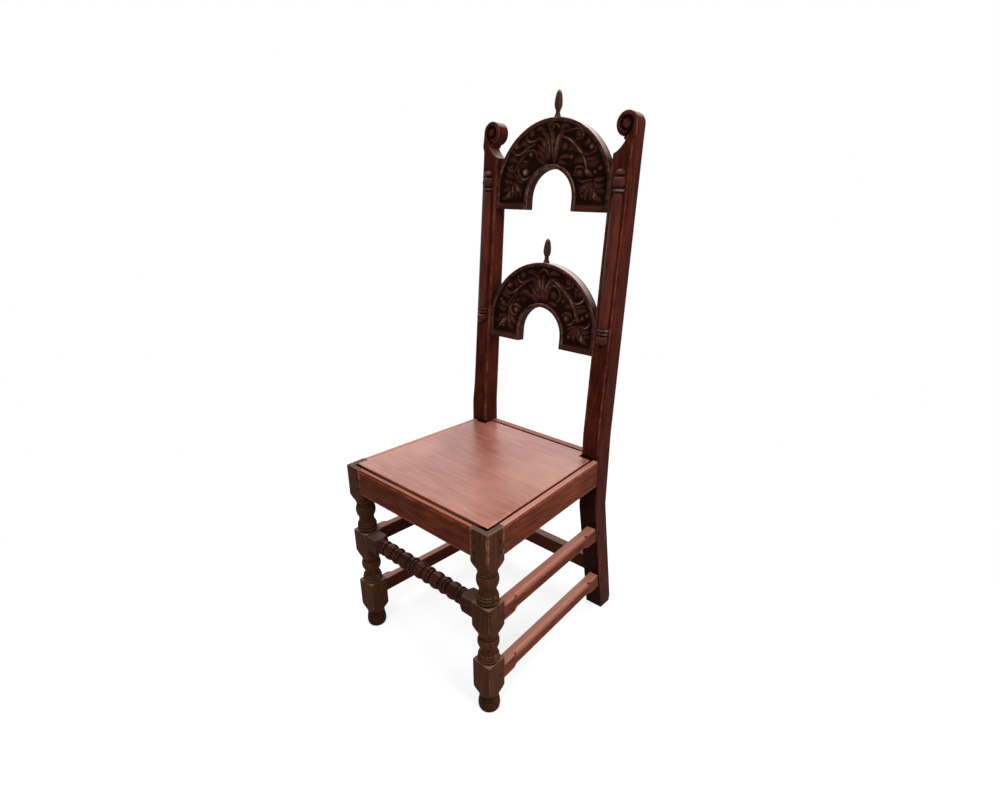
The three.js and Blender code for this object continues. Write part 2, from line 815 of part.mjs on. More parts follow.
function bobbinProfile(half, length) {
  const points = [];
  for (let i = 0; i + 1 < valleyShares.length; i += 1) {
    const middle = (valleyShares[i] + valleyShares[i + 1]) / 2;
    const reach = (valleyShares[i + 1] - valleyShares[i]) / 2;
    const bobbin = i % 2 === 0 ? plainBobbinShares : reededBobbinShares;
    bobbin.forEach(([along, share]) => {
      if (middle + reach * along >= 0) {
        points.push([half * share, length * (middle + reach * along)]);
      }
    });
  }
  collarShares.forEach(([along, share]) => points.push([half * share, length * along]));
  return points;
}

function frontStretcher() {
  const half = frontStretcherSquare / 2;
  const halfLength = legInner - clearance;
  const turnedHalf = halfLength - frontStretcherBlock;
  const centre = [0, frontY + frontStretcherSetback + half, frontStretcherTop - half];
  const side = bobbinProfile(half, turnedHalf);
  const wide = cornerRadius(half) + clearance;
  const narrow = side[side.length - 1][0];
  [...tongueShares].reverse().forEach(([down, inward]) => {
    side.push([wide + (narrow - wide) * inward, turnedHalf + frontStretcherTongue * (1 - down)]);
  });
  side.push([wide, halfLength]);
  const other = side.slice(1).map(([radius, along]) => [radius, -along]).reverse();
  const lay = new THREE.Matrix4().makeRotationY(Math.PI / 2).setPosition(...centre);
  const spindle = turned([...other, ...side], stretcherFacets, lay);
  const blank = block(
    [-halfLength, centre[1] - half, centre[2] - half], [halfLength, centre[1] + half, centre[2] + half]);
  const tenon = frontStretcherTenon(0);
  return drilled(blank.intersect(spindle).add(tenon).add(mirrored(tenon)));
}

// A straight rail across the chair, with a tenon at each end
function crossRail(reach, nearY, farY, low, high, tenon) {
  const body = block([-reach + clearance, nearY, low], [reach - clearance, farY, high]);
  return body.add(tenon).add(mirrored(tenon));
}

function frontRail() {
  const rail = crossRail(legInner, frontRailY, frontRailY + railThickness, railBottom, seatHeight,
    frontRailTenon(0));
  return drilled(rail.subtract(rebate));
}

function rearRail() {
  const rail = crossRail(postInner, rearRailY, rearRailY + rearRailThickness, railBottom, seatHeight,
    rearRailTenon(0));
  return drilled(rail.subtract(rebate));
}

function rearStretcher() {
  return crossRail(postInner, rearStretcherY, rearStretcherY + rearStretcherWidth,
    rearStretcherTop - rearStretcherHeight, rearStretcherTop, rearStretcherTenon(0));
}

// A side member in plan: its outer face runs from the leg to the post, its ends fit their faces
function sideBar(width, low, high, farY) {
  const near = legBackY + clearance;
  const plan = [
    [sideOuterX(near) - width, near], [sideOuterX(near), near],
    [sideOuterX(farY), farY], [sideOuterX(farY) - width, farY],
  ];
  return prism(plan, high - low, liftedTo(low));
}

function sideRail() {
  const bar = sideBar(railThickness, railBottom, seatHeight, postY - clearance);
  return drilled(bar
    .add(sideTenonAtLeg(0, railTenonLow, railTenonHigh, railTenonShortLength - clearance))
    .add(sideTenonAtPost(0, railTenonLow, railTenonHigh, postTenonLength - clearance, postY))
    .subtract(rebate));
}

// A side stretcher: its rear shoulder follows the raked heel, its outer edges are stop-chamfered
function sideStretcher(level) {
  const top = level.top;
  const bottom = top - sideStretcherHeight;
  const { low, high, faceY } = sideStretcherTenons(level);
  const reach = postFaceY(bottom) + overrun;
  const bar = sideBar(sideStretcherWidth, bottom, top, reach);
  const heelFace = prism(
    [[postFaceY(bottom - overrun) - clearance, bottom - overrun],
      [reach + overrun, bottom - overrun], [reach + overrun, top + overrun],
      [postFaceY(top + overrun) - clearance, top + overrun]],
    halfFront, sideView(postInner - overrun));
  let stretcher = bar.subtract(heelFace);
  const near = legBackY + stretcherStop;
  const far = postFaceY(top) - stretcherStop;
  [[top, 1], [bottom, -1]].forEach(([edge, up]) => {
    const from = new THREE.Vector3(sideOuterX(near), near, edge);
    const to = new THREE.Vector3(sideOuterX(far), far, edge);
    const outward = new THREE.Vector3(far - near, from.x - to.x, 0).normalize();
    outward.z = up;
    stretcher = stretcher.subtract(
      stoppedChamfer(from, to, outward, stretcherChamfer, stretcherStopRun));
  });
  return drilled(stretcher
    .add(sideTenonAtLeg(0, low, high, sideStretcherTenonLength - clearance))
    .add(sideTenonAtPost(0, low, high, postStretcherTenonLength - clearance, faceY)));
}

// The pieces made for the right side stand mirrored on the left
function addPair(name, solid, finish) {
  addPiece(`${name}_right`, solid, finish);
  addPiece(`${name}_left`, mirrored(solid), finish);
}

addPiece("seat_board", seatBoard(), "seat");
addPiece("front_seat_rail", frontRail(), "rail");
addPiece("rear_seat_rail", rearRail(), "rail");
addPair("side_seat_rail", sideRail(), "rail");
addPair("front_leg", frontLeg(), "leg");
addPair("rear_post", rearPost(), "post");
addPiece("front_stretcher", frontStretcher(), "leg");
addPiece("rear_stretcher", rearStretcher(), "leg");
Object.entries(stretcherLevels).forEach(([levelName, level]) => {
  addPair(`${levelName}_side_stretcher`, sideStretcher(level), "rail");
});
Object.entries(arches).forEach(([archName, arch]) => {
  addPiece(`${archName}_arched_rail`, archedRail(arch.rise, arch.leg), "carved");
  addPiece(`${archName}_finial`, finial(arch.rise, arch.leg), "post");
});
addPair("split_turning", splitTurning(), "post");
pegs.forEach((peg) => addPair(peg.name, pegSolid(peg, 0), "peg"));

export default chair;
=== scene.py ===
"""The looks of a carved wooden chair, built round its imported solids: each piece is a closed surface
worked out with numpy in millimetres, and waxed wood is a node material on object coordinates."""

import math
from collections import namedtuple

import bpy
import numpy as np
from mathutils import Matrix, Vector


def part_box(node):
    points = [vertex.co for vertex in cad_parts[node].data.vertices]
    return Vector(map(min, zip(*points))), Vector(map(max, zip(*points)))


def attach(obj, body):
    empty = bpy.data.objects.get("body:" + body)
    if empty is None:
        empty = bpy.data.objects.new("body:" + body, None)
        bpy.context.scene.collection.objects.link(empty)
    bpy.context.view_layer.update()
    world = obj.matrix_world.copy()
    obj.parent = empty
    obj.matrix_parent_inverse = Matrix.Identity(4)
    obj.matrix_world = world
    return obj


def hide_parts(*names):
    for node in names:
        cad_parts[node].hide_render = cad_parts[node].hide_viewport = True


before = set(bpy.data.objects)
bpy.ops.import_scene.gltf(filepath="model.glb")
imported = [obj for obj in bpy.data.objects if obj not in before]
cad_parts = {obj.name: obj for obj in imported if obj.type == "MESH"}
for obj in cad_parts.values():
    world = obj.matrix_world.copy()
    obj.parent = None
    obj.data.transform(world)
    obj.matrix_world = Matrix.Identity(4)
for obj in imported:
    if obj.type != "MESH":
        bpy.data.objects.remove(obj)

bl_info = {
    "name": "Carved wooden chair",
    "version": (1, 0, 0),
    "blender": (4, 5, 0),
    "location": "3D View > Sidebar > Chair",
    "description": "Builds the turned, sawn and carved pieces of a high-backed wooden chair",
    "category": "Add Mesh",
}

BODY = "root"
MILLIMETRE = 0.001
SHARP_ANGLE = math.radians(38)


def corners_of(node):
    """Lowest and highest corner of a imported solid, in millimetres."""
    low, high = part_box(node)
    return np.array(low) / MILLIMETRE, np.array(high) / MILLIMETRE


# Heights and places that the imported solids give, in millimetres
LEG_LOW, LEG_HIGH = corners_of("front_leg_right")
BOARD_LOW, BOARD_HIGH = corners_of("seat_board")
REAR_STRETCHER_LOW, REAR_STRETCHER_HIGH = corners_of("rear_stretcher")
SEAT_TOP = LEG_HIGH[2]
FRONT_Y = LEG_LOW[1]
LEG_HALF = (LEG_HIGH[0] - LEG_LOW[0]) / 2
LEG_X = LEG_HIGH[0] - LEG_HALF
LEG_Y = FRONT_Y + LEG_HALF
LEG_INNER = LEG_LOW[0]
LEG_BACK_Y = LEG_HIGH[1]

# The front legs: where each section ends, from the top down
RAIL_BOTTOM = 386.0
UPPER_TURNING = (356.0, 278.5)
MIDDLE_BLOCK_END = 231.0
LOWER_TURNING = (201.0, 133.5)
LOWER_BLOCK_END = 71.0
FOOT_TOP = 41.0

# The gap that is left where a rail or a stretcher meets a leg or a post
SHOULDER_GAP = 0.3

# The seat frame, the groove round its board and the room that the board leaves at the posts
RAIL_SETBACK = 1.0
RAIL_THICKNESS = 26.0
REAR_RAIL_THICKNESS = 28.0
REBATE_FLOOR = 437.2
FRONT_GROOVE, RIGHT_GROOVE, LEFT_GROOVE, REAR_GROOVE = 7.7, 5.2, 1.6, 8.0
BOARD_BACK = BOARD_HIGH[1] - 8.0
NOTCH_GAP_FRONT, NOTCH_GAP_SIDE = 8.0, 4.0
BOARD_SAG = 0.9

# The board's edges are worn rounder than the others, by this share
BOARD_WORN = 1.2

# The rear posts and the raked plane of the back
POST_Y = FRONT_Y + 392.0
POST_OUTER = 200.0
POST_INNER = 154.0
POST_DEPTH = 46.0
POST_TOP_DEPTH = 33.0
POST_MIDDLE = (POST_INNER + POST_OUTER) / 2
POST_CHAMFER = 5.0
SIDE_TAPER = (LEG_HIGH[0] - POST_OUTER) / (POST_Y - LEG_BACK_Y)
LOWER_BEND = 320.0
UPPER_BEND = 505.0
HEEL_SPLAY = 60.0
HEEL_DEPTH = 45.0
RAKE = math.radians(4.9)
SCROLL_RISE = 643.0
SCROLL_RADIUS = 23.5
SCROLL_NECK = 19.0
SCROLL_REACH = SCROLL_RADIUS - 0.08
SCROLL_EDGE = 3.8
SCROLL_STEM = 0.16
SHOULDER_RISE = 589.0
NECK_RISE = 619.0

# The arches, measured along the raked posts from their upper bend
ARCHES = {
    "lower": {"rise": 181.5, "leg": 29.0},
    "upper": {"rise": 480.0, "leg": 27.0},
}
ARCH_RADIUS = 158.0
ARCH_REACH = 153.7
ARCH_OPENING = 61.0
ARCH_OPENING_DROP = 2.5
ARCH_THICKNESS = 23.0
ARCH_RECESS = 3.0
FINIAL_HEIGHT = 53.0
FINIAL_RADIUS = 8.6
FINIAL_SUNK = 0.4
SPLIT_RISE = 208.0
SPLIT_LENGTH = 354.0
SPLIT_RADIUS = 14.2

# The stretchers
FRONT_STRETCHER_HALF = 19.0
FRONT_STRETCHER_TOP = 276.0
FRONT_STRETCHER_SQUARE = 38.0
SIDE_STRETCHER_TOPS = {"upper": 264.0, "lower": 112.0}
SIDE_STRETCHER_HEIGHT = 36.0
SIDE_STRETCHER_WIDTH = 24.0
SIDE_STRETCHER_CHAMFER = 8.0
CHAMFER_STOP = (33.0, 44.0)


def post_face(z):
    """Front face of a rear post over the floor: splayed heel, upright middle, raked back."""
    z = np.asarray(z, float)
    heel = POST_Y + (LOWER_BEND - z) * HEEL_SPLAY / LOWER_BEND
    raked = POST_Y + (z - UPPER_BEND) * math.tan(RAKE)
    return np.where(z < LOWER_BEND, heel, np.where(z > UPPER_BEND, raked, POST_Y))


def side_outer(y):
    """Outer face of the side rails and stretchers, which taper from the legs to the posts."""
    return LEG_HIGH[0] - RAIL_SETBACK - (np.asarray(y, float) - LEG_BACK_Y) * SIDE_TAPER


def points_of(x, y, z):
    """Points from their coordinates, where a single number holds for all of them."""
    return np.stack(np.broadcast_arrays(x, y, z), -1).astype(float)


def in_back_plane(x, y, z):
    """Points of the raked back: x across, y into the wood, z along the post from its upper bend."""
    return points_of(x, POST_Y + y * math.cos(RAKE) + z * math.sin(RAKE),
                     UPPER_BEND - y * math.sin(RAKE) + z * math.cos(RAKE))


def smooth_step(value, low, high):
    """0 below low, 1 above high, and an S between them."""
    share = np.clip((value - low) / (high - low), 0, 1)
    return share * share * (3 - 2 * share)


def monotone_curve(at, xs, ys):
    """Cubic through control points with no overshoot: slopes are harmonic means of the neighbours'."""
    xs, ys = np.asarray(xs, float), np.asarray(ys, float)
    step = np.diff(xs)
    rise = np.diff(ys) / step
    slope = np.zeros_like(ys)
    before, after = rise[:-1], rise[1:]
    same = before * after > 0
    total = np.where(same, before + after, 1)
    slope[1:-1] = np.where(same, 2 * before * after / total, 0)
    i = np.clip(np.searchsorted(xs, at) - 1, 0, len(step) - 1)
    s = (at - xs[i]) / step[i]
    return (
        (2 * s**3 - 3 * s**2 + 1) * ys[i]
        + (s**3 - 2 * s**2 + s) * step[i] * slope[i]
        + (3 * s**2 - 2 * s**3) * ys[i + 1]
        + (s**3 - s**2) * step[i] * slope[i + 1]
    )


def rounded_over(arris, distance):
    """How far a quarter round of radius arris lies below its face, at a distance from the edge."""
    return arris - np.sqrt(np.clip(arris**2 - np.clip(arris - distance, 0, arris) ** 2, 0, None))


def proud_and_sunk(radius, window, proud, sunk):
    """Two shares for each turned radius: how far it stands out from the mean of its neighbours, and
    how far it lies below that mean, where 1 is the height or the depth given."""
    padded = np.pad(radius, window // 2, mode="edge")
    rise = radius - np.convolve(padded, np.ones(window) / window, mode="valid")[: len(radius)]
    return np.clip(rise / proud, 0, 1)[:, None], np.clip(-rise / sunk, 0, 1)[:, None]


def closed_skin(name, shells):
    """One mesh from closed shells. A shell is rings of points joined side by side, each end closed on its
    middle point, with two attributes at every point: how worn and highlit it is, and how far painted shade
    and dirt darken it."""
    points, wears_and_highlights, hollows, loops, sizes = [], [], [], [], []
    start = 0
    for rings, wear, hollow in shells:
        rows, around = rings.shape[:2]
        poles = np.stack([rings[0].mean(0), rings[-1].mean(0)])
        flat = np.concatenate([rings.reshape(-1, 3), poles])
        index = np.arange(rows * around).reshape(rows, around)
        nxt = np.roll(index, -1, axis=1)
        quads = np.stack([index[:-1], nxt[:-1], nxt[1:], index[1:]], -1).reshape(-1, 4)
        first = np.full(around, rows * around)
        fans = np.concatenate([
            np.stack([nxt[0], index[0], first], -1),
            np.stack([index[-1], nxt[-1], first + 1], -1),
        ])
        a, b, c, d = (flat[quads[:, i]] for i in range(4))
        volume = np.einsum("ij,ij->", a, np.cross(b, c)) + np.einsum("ij,ij->", a, np.cross(c, d))
        p, q, r = (flat[fans[:, i]] for i in range(3))
        volume += np.einsum("ij,ij->", p, np.cross(q, r))
        if volume < 0:
            quads, fans = quads[:, ::-1], fans[:, ::-1]
        points.append(flat)
        wears_and_highlights.append(np.concatenate([np.broadcast_to(wear, (rows, around)).ravel(), [0, 0]]))
        hollow = np.broadcast_to(hollow, (rows, around))
        hollows.append(np.concatenate([hollow.ravel(), [hollow[0].min(), hollow[-1].min()]]))
        loops.append(np.concatenate([quads.ravel(), fans.ravel()]) + start)
        sizes.append(np.concatenate([np.full(len(quads), 4), np.full(len(fans), 3)]))
        start += len(flat)
    points = np.concatenate(points) * MILLIMETRE
    loops, sizes = np.concatenate(loops), np.concatenate(sizes)
    mesh = bpy.data.meshes.new(name)
    mesh.vertices.add(len(points))
    mesh.vertices.foreach_set("co", points.astype(np.float32).ravel())
    mesh.loops.add(len(loops))
    mesh.loops.foreach_set("vertex_index", loops.astype(np.int32))
    mesh.polygons.add(len(sizes))
    mesh.polygons.foreach_set("loop_start", np.concatenate([[0], np.cumsum(sizes)[:-1]]).astype(np.int32))
    mesh.update(calc_edges=True)
    mesh.polygons.foreach_set("use_smooth", np.ones(len(sizes), bool))
    mesh.set_sharp_from_angle(angle=SHARP_ANGLE)
    for attribute, values in (("wear", wears_and_highlights), ("hollow", hollows)):
        layer = mesh.attributes.new(attribute, "FLOAT", "POINT")
        layer.data.foreach_set("value", np.clip(np.concatenate(values), 0, 1).astype(np.float32))
    return mesh


def place_piece(context, name, shells, finish, slot, *nodes):
    """The finished piece, in its wood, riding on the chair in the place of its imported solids."""
    piece = bpy.data.objects.new(name, closed_skin(name, shells))
    context.collection.objects.link(piece)
    piece.data.materials.append(wood(context, finish))
    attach(piece, BODY)
    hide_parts(*nodes)


def mirrored(shells):
    """The same shells on the other side of the chair."""
    return [(rings * np.array([-1.0, 1.0, 1.0]), wear, hollow) for rings, wear, hollow in shells]


# A moulded corner: its points, and how far from it a face is rubbed
CORNER_STEPS = 5
RUBBED_REACH = 1.1


def moulded_bar(path, across, up, outline, cut, flat, face_steps=6):
    """A bar with a polygon section: each corner is cut back by its cut and closed with a quadratic
    curve, whose middle point moves from the corner (round) to the chord (a flat chamfer)."""
    path = np.asarray(path, float)
    rows = len(path)
    outline = np.broadcast_to(outline, (rows,) + np.shape(outline)[-2:])
    sides = outline.shape[1]
    cut = np.broadcast_to(cut, (rows, sides))[..., None]
    flat = np.broadcast_to(flat, (rows, sides))[..., None]
    back = np.roll(outline, 1, axis=1) - outline
    ahead = np.roll(outline, -1, axis=1) - outline
    back /= np.linalg.norm(back, axis=-1, keepdims=True)
    ahead /= np.linalg.norm(ahead, axis=-1, keepdims=True)
    begin, end = outline + back * cut, outline + ahead * cut
    middle = outline * (1 - flat) + (begin + end) / 2 * flat
    t = np.linspace(0, 1, CORNER_STEPS)[:, None]
    u = np.linspace(0, 1, face_steps + 2)[1:-1, None]
    pieces, worn = [], []
    for k in range(sides):
        a, m, b = (points[:, None, k] for points in (begin, middle, end))
        pieces.append((1 - t) ** 2 * a + 2 * t * (1 - t) * m + t**2 * b)
        chord = np.linalg.norm(b - a, axis=-1)
        worn.append(np.exp(-np.minimum(t, 1 - t)[None, :, 0] * chord))
        following = begin[:, None, (k + 1) % sides]
        pieces.append(b + (following - b) * u)
        run = np.linalg.norm(following - b, axis=-1)
        near = np.minimum(u[None, :, 0], 1 - u[None, :, 0]) * run
        worn.append(np.exp(-near / RUBBED_REACH))
    section = np.concatenate(pieces, axis=1)
    wear = np.concatenate(worn, axis=1)
    across = np.broadcast_to(across, (rows, 3))[:, None]
    up = np.broadcast_to(up, (rows, 3))[:, None]
    rings = path[:, None] + section[..., :1] * across + section[..., 1:] * up
    return rings, wear, np.zeros_like(wear)


def with_round_ends(values, low, high, arris):
    """Stations from low to high, crowded towards both ends."""
    ends = np.array([0.0, 0.3, 1.0, 2.0]) * arris
    return np.concatenate([low + ends, values[(values > low + 3 * arris) & (values < high - 3 * arris)],
                           (high - ends)[::-1]])


# Turned sections: share of the way down, share of the half square
BALUSTER = np.array([
    [0.0, 0.9], [0.012, 0.87], [0.022, 0.8], [0.035, 0.79], [0.05, 0.83], [0.07, 0.855], [0.088, 0.83],
    [0.1, 0.81], [0.125, 0.86], [0.17, 0.925], [0.22, 0.965], [0.28, 0.98], [0.34, 0.965], [0.4, 0.92],
    [0.45, 0.86], [0.48, 0.81], [0.5, 0.78], [0.53, 0.76], [0.58, 0.75], [0.63, 0.76], [0.675, 0.8],
    [0.71, 0.855], [0.73, 0.9], [0.742, 0.91], [0.752, 0.85], [0.762, 0.86], [0.778, 0.93], [0.8, 0.96],
    [0.825, 0.945], [0.842, 0.88], [0.85, 0.86], [0.862, 0.91], [0.89, 0.975], [0.925, 0.985],
    [0.955, 0.95], [0.97, 0.89], [0.985, 0.875], [1.0, 0.87],
])
FOOT = np.array([
    [0.0, 0.9], [0.03, 0.86], [0.09, 0.79], [0.14, 0.79], [0.165, 0.87], [0.2, 0.905], [0.24, 0.9],
    [0.265, 0.83], [0.29, 0.83], [0.33, 0.9], [0.42, 0.955], [0.55, 0.99], [0.68, 0.995], [0.8, 0.975],
    [0.9, 0.92], [0.96, 0.85], [1.0, 0.74],
])
TONGUE = np.array([[0, 0], [0.14, 0.02], [0.3, 0.13], [0.45, 0.35], [0.6, 0.62], [0.75, 0.84], [0.9, 0.97],
                   [1, 1]])


# A turned square: points round it, and how sharply the lathe's cut meets the flat sides
ROUND_STEPS = 112
BLEND = 3.0

# How far past the corners of its square a profile runs where the square is left whole
CLEAR = 1.5


def turned_square(profile, centre, half, arris, along, first, second):
    """A square blank in the lathe: the radius is the smaller of the rounded square's and the turned
    profile's, blended softly, over the angle round the piece and the stations along it."""
    stations, radii = profile[:, 0:1], profile[:, 1:2]
    steps = np.linspace(0, 2 * np.pi, ROUND_STEPS, endpoint=False)
    angle = (steps + 0.12 * np.sin(4 * steps))[None]
    power = np.clip(2 / np.log2(1 / (1 - 0.41 * arris / half)), 6, 60)
    square = half * (np.abs(np.cos(angle)) ** power + np.abs(np.sin(angle)) ** power) ** (-1 / power)
    radius = half - np.log(np.exp(-BLEND * (square - half)) + np.exp(-BLEND * (radii - half))) / BLEND
    rings = (
        centre
        + stations[..., None] * along
        + (radius * np.cos(angle))[..., None] * first
        + (radius * np.sin(angle))[..., None] * second
    )
    to_corner = (np.pi / 4 - np.abs((angle + np.pi / 4) % (np.pi / 2) - np.pi / 4)) * half
    squared = smooth_step(radii - square, -0.5, 0.5)
    bead, cove = proud_and_sunk(np.minimum(radii[:, 0], half), 15, 0.7, 0.65)
    # Worn corners and beads, the beads partly a painted highlight, and painted shade in the coves
    wear = 0.5 * np.exp(-to_corner) * squared + 0.45 * bead * (1 - squared)
    return rings, wear, cove * (1 - squared)


def leg_profile():
    """Stations and radii of a front leg, from the foot to the underside of the seat frame."""
    corner = LEG_HALF * math.sqrt(2)
    wide = corner + CLEAR
    rows = []

    def straight(high, low):
        for z in np.linspace(high, low, 9):
            rows.append((z, wide))

    def tongue(high, low, narrow):
        share = np.linspace(0, 1, 36)
        inward = monotone_curve(share, TONGUE[:, 0], TONGUE[:, 1])
        rows.extend(zip(high + (low - high) * share, wide + (narrow - wide) * inward))

    def turning(high, low, table):
        share = np.linspace(0, 1, int((high - low) / 0.55))
        radii = LEG_HALF * monotone_curve(share, table[:, 0], table[:, 1])
        rows.extend(zip(high + (low - high) * share, radii))

    def shoulder(z, start):
        for drop, radius in ((0.02, start + 3), (0.04, corner - 5), (0.1, corner - 2.2), (0.5, corner - 0.9),
                             (1.2, corner), (2.2, wide)):
            rows.append((z - drop, radius))

    straight(RAIL_BOTTOM + 0.02, RAIL_BOTTOM - 1.5)
    for (high, low), block_end in ((UPPER_TURNING, MIDDLE_BLOCK_END), (LOWER_TURNING, LOWER_BLOCK_END)):
        tongue(rows[-1][0], high, LEG_HALF * BALUSTER[0, 1])
        turning(high, low, BALUSTER)
        shoulder(low, LEG_HALF * BALUSTER[-1, 1])
        straight(low - 3, block_end)
    tongue(LOWER_BLOCK_END, FOOT_TOP, LEG_HALF * FOOT[0, 1])
    turning(FOOT_TOP, 0, FOOT)
    profile = np.array(rows)[::-1]
    keep = np.concatenate([[True], np.diff(profile[:, 0]) > 0.005])
    return profile[keep]


def front_leg_shells(arris, groove):
    """The right front leg: its turned part, and the squared top with the rebate for the board."""
    across, inward, up = np.eye(3)
    rings, wear, hollow = turned_square(leg_profile(), np.array([LEG_X, LEG_Y, 0.0]), LEG_HALF, arris,
                                        up, across, inward)
    foot = 1 - smooth_step(rings[..., 2], 25, 60)
    turned = rings, wear * (1 - 0.5 * foot), np.maximum(hollow, 0.45 * foot)
    z = np.array([RAIL_BOTTOM, RAIL_BOTTOM + 0.5, 400, 420, REBATE_FLOOR - 0.4, REBATE_FLOOR,
                  REBATE_FLOOR + 0.02, 443, SEAT_TOP - arris, SEAT_TOP - 0.3 * arris, SEAT_TOP, SEAT_TOP])
    path = points_of(LEG_X, LEG_Y, z)
    edge_x = BOARD_HIGH[0] + groove - LEG_X
    edge_y = BOARD_LOW[1] - FRONT_GROOVE - LEG_Y
    h = LEG_HALF
    plain = np.array([[h, -h], [h, h], [edge_x, h], [-h, h], [-h, edge_y], [-h, -h]])
    notched = plain.copy()
    notched[3] = (edge_x, edge_y)
    outline = np.where((z > REBATE_FLOOR)[:, None, None], notched, plain)
    shrink = np.interp(z, [SEAT_TOP - arris, SEAT_TOP - 0.3 * arris, SEAT_TOP], [0, 0.3 * arris, arris])
    shrink[-1] += 1.5
    outline = outline * (1 - shrink[:, None, None] / h)
    rings, wear, hollow = moulded_bar(path, (1, 0, 0), (0, 1, 0), outline,
                                      [arris, arris, 0.3, 0.3, 0.3, arris], 0.0)
    wear[-1], hollow[-2], hollow[-1] = 0, 0.2, 0.4
    return [turned, (rings, wear, hollow)]


def rail_cuts(arris):
    """How far each corner of a seat rail's section is rounded: widest on the outer top edge."""
    return [arris, arris, 0.4, 0.4, 0.6, arris * 2.6]


def rail_outline(outer, inner, notch):
    """Section of a seat rail over its height: outer band up to the seat, and a step for the board."""
    return np.array([
        [outer, RAIL_BOTTOM], [inner, RAIL_BOTTOM], [inner, REBATE_FLOOR], [notch, REBATE_FLOOR],
        [notch, SEAT_TOP], [outer, SEAT_TOP],
    ])


def cross_bar(reach, stations, outline, cut, face_steps):
    """A bar across the chair, which reaches as far to the left as to the right."""
    path = points_of(np.linspace(-reach, reach, stations), 0, 0)
    return moulded_bar(path, (0, 1, 0), (0, 0, 1), outline, cut, 0.0, face_steps)


def cross_rail_shells(arris):
    """Front and rear rail, each a stepped bar between the legs or the posts."""
    face, edge = FRONT_Y + RAIL_SETBACK, BOARD_LOW[1] - FRONT_GROOVE
    front_rail = cross_bar(LEG_INNER - SHOULDER_GAP, 60, rail_outline(face, face + RAIL_THICKNESS, edge),
                           rail_cuts(arris), 10)
    face, rear_edge = POST_Y + POST_DEPTH - RAIL_SETBACK, BOARD_BACK + REAR_GROOVE
    rear_rail = cross_bar(POST_INNER - SHOULDER_GAP, 50,
                          rail_outline(face, face - REAR_RAIL_THICKNESS, rear_edge), rail_cuts(arris), 10)
    return (paint_groove_shade(front_rail, lambda p: p[..., 1] > edge - 0.3),
            paint_groove_shade(rear_rail, lambda p: p[..., 1] < rear_edge + 0.3))


def side_rail_shell(arris, groove):
    """The right side rail: a stepped bar on the tapering line from the leg to the post."""
    y = np.linspace(LEG_BACK_Y + SHOULDER_GAP, POST_Y - SHOULDER_GAP, 60)
    edge = BOARD_HIGH[0] - LEG_HIGH[0] + RAIL_SETBACK + groove - (LEG_BACK_Y - BOARD_LOW[1]) * SIDE_TAPER
    side_rail = moulded_bar(points_of(side_outer(y), y, 0), (1, 0, 0), (0, 0, 1),
                            rail_outline(0, -RAIL_THICKNESS, edge), rail_cuts(arris), 0.0, face_steps=10)
    return paint_groove_shade(side_rail, lambda p: p[..., 0] < side_outer(p[..., 1]) + edge + 0.3)


def paint_groove_shade(shell, inside):
    """The shell darkened by painted shade where it looks into the groove round the board, and not worn there.
    """
    rings, wear, hollow = shell
    depth = smooth_step(SEAT_TOP - rings[..., 2], 0.8, 2.4) * (rings[..., 2] > REBATE_FLOOR - 1)
    return rings, wear * (1 - depth * inside(rings)), np.where(inside(rings), depth, hollow)


def seat_board_shell(arris):
    """The board, swept from front to back: its half width tapers, and drops at the post notches. Its
    top sags like a bell curve where it was sat on."""
    notch = POST_Y - NOTCH_GAP_FRONT
    low, high = BOARD_LOW[1], BOARD_BACK
    y = np.unique(np.concatenate([
        with_round_ends(np.linspace(low, high, 90), low, high, arris),
        notch - np.array([3, 1.6, 0.8, 0.3]), [notch, notch + 0.02],
    ]))
    half = np.where(y > notch, POST_INNER - NOTCH_GAP_SIDE, BOARD_HIGH[0] - (y - low) * SIDE_TAPER)
    rounding = rounded_over(arris, np.minimum(y - low, high - y))
    half = half - rounding
    top, bottom = BOARD_HIGH[2] - rounding, np.full_like(y, BOARD_LOW[2])
    outline = np.stack([np.stack([half, half, -half, -half], 1), np.stack([bottom, top, top, bottom], 1)], -1)
    rings, wear, _ = moulded_bar(points_of(0, y, 0), (1, 0, 0), (0, 0, 1), outline,
                                 [0.4, arris, arris, 0.4], 0.0, face_steps=60)
    # Painted shade on the board's edges below its top, down in the groove
    hollow = smooth_step(BOARD_HIGH[2] - rings[..., 2], 1.2, 2.6)
    on_top = rings[..., 2] > BOARD_HIGH[2] - 0.2
    sat = np.exp(-((rings[..., 0] / 150) ** 2 + ((rings[..., 1] + 20) / 140) ** 2))
    rings[..., 2] -= np.where(on_top, BOARD_SAG * sat, 0)
    return rings, wear * 0.8, hollow


def post_depth(rise):
    """Depth of the wood behind the raked front face, which tapers to the top."""
    low = POST_DEPTH * math.sin(RAKE)
    full = POST_DEPTH * math.cos(RAKE)
    high = SCROLL_RISE + SCROLL_RADIUS + 12
    return full + (POST_TOP_DEPTH - full) * (np.asarray(rise, float) - low) / (high - low)


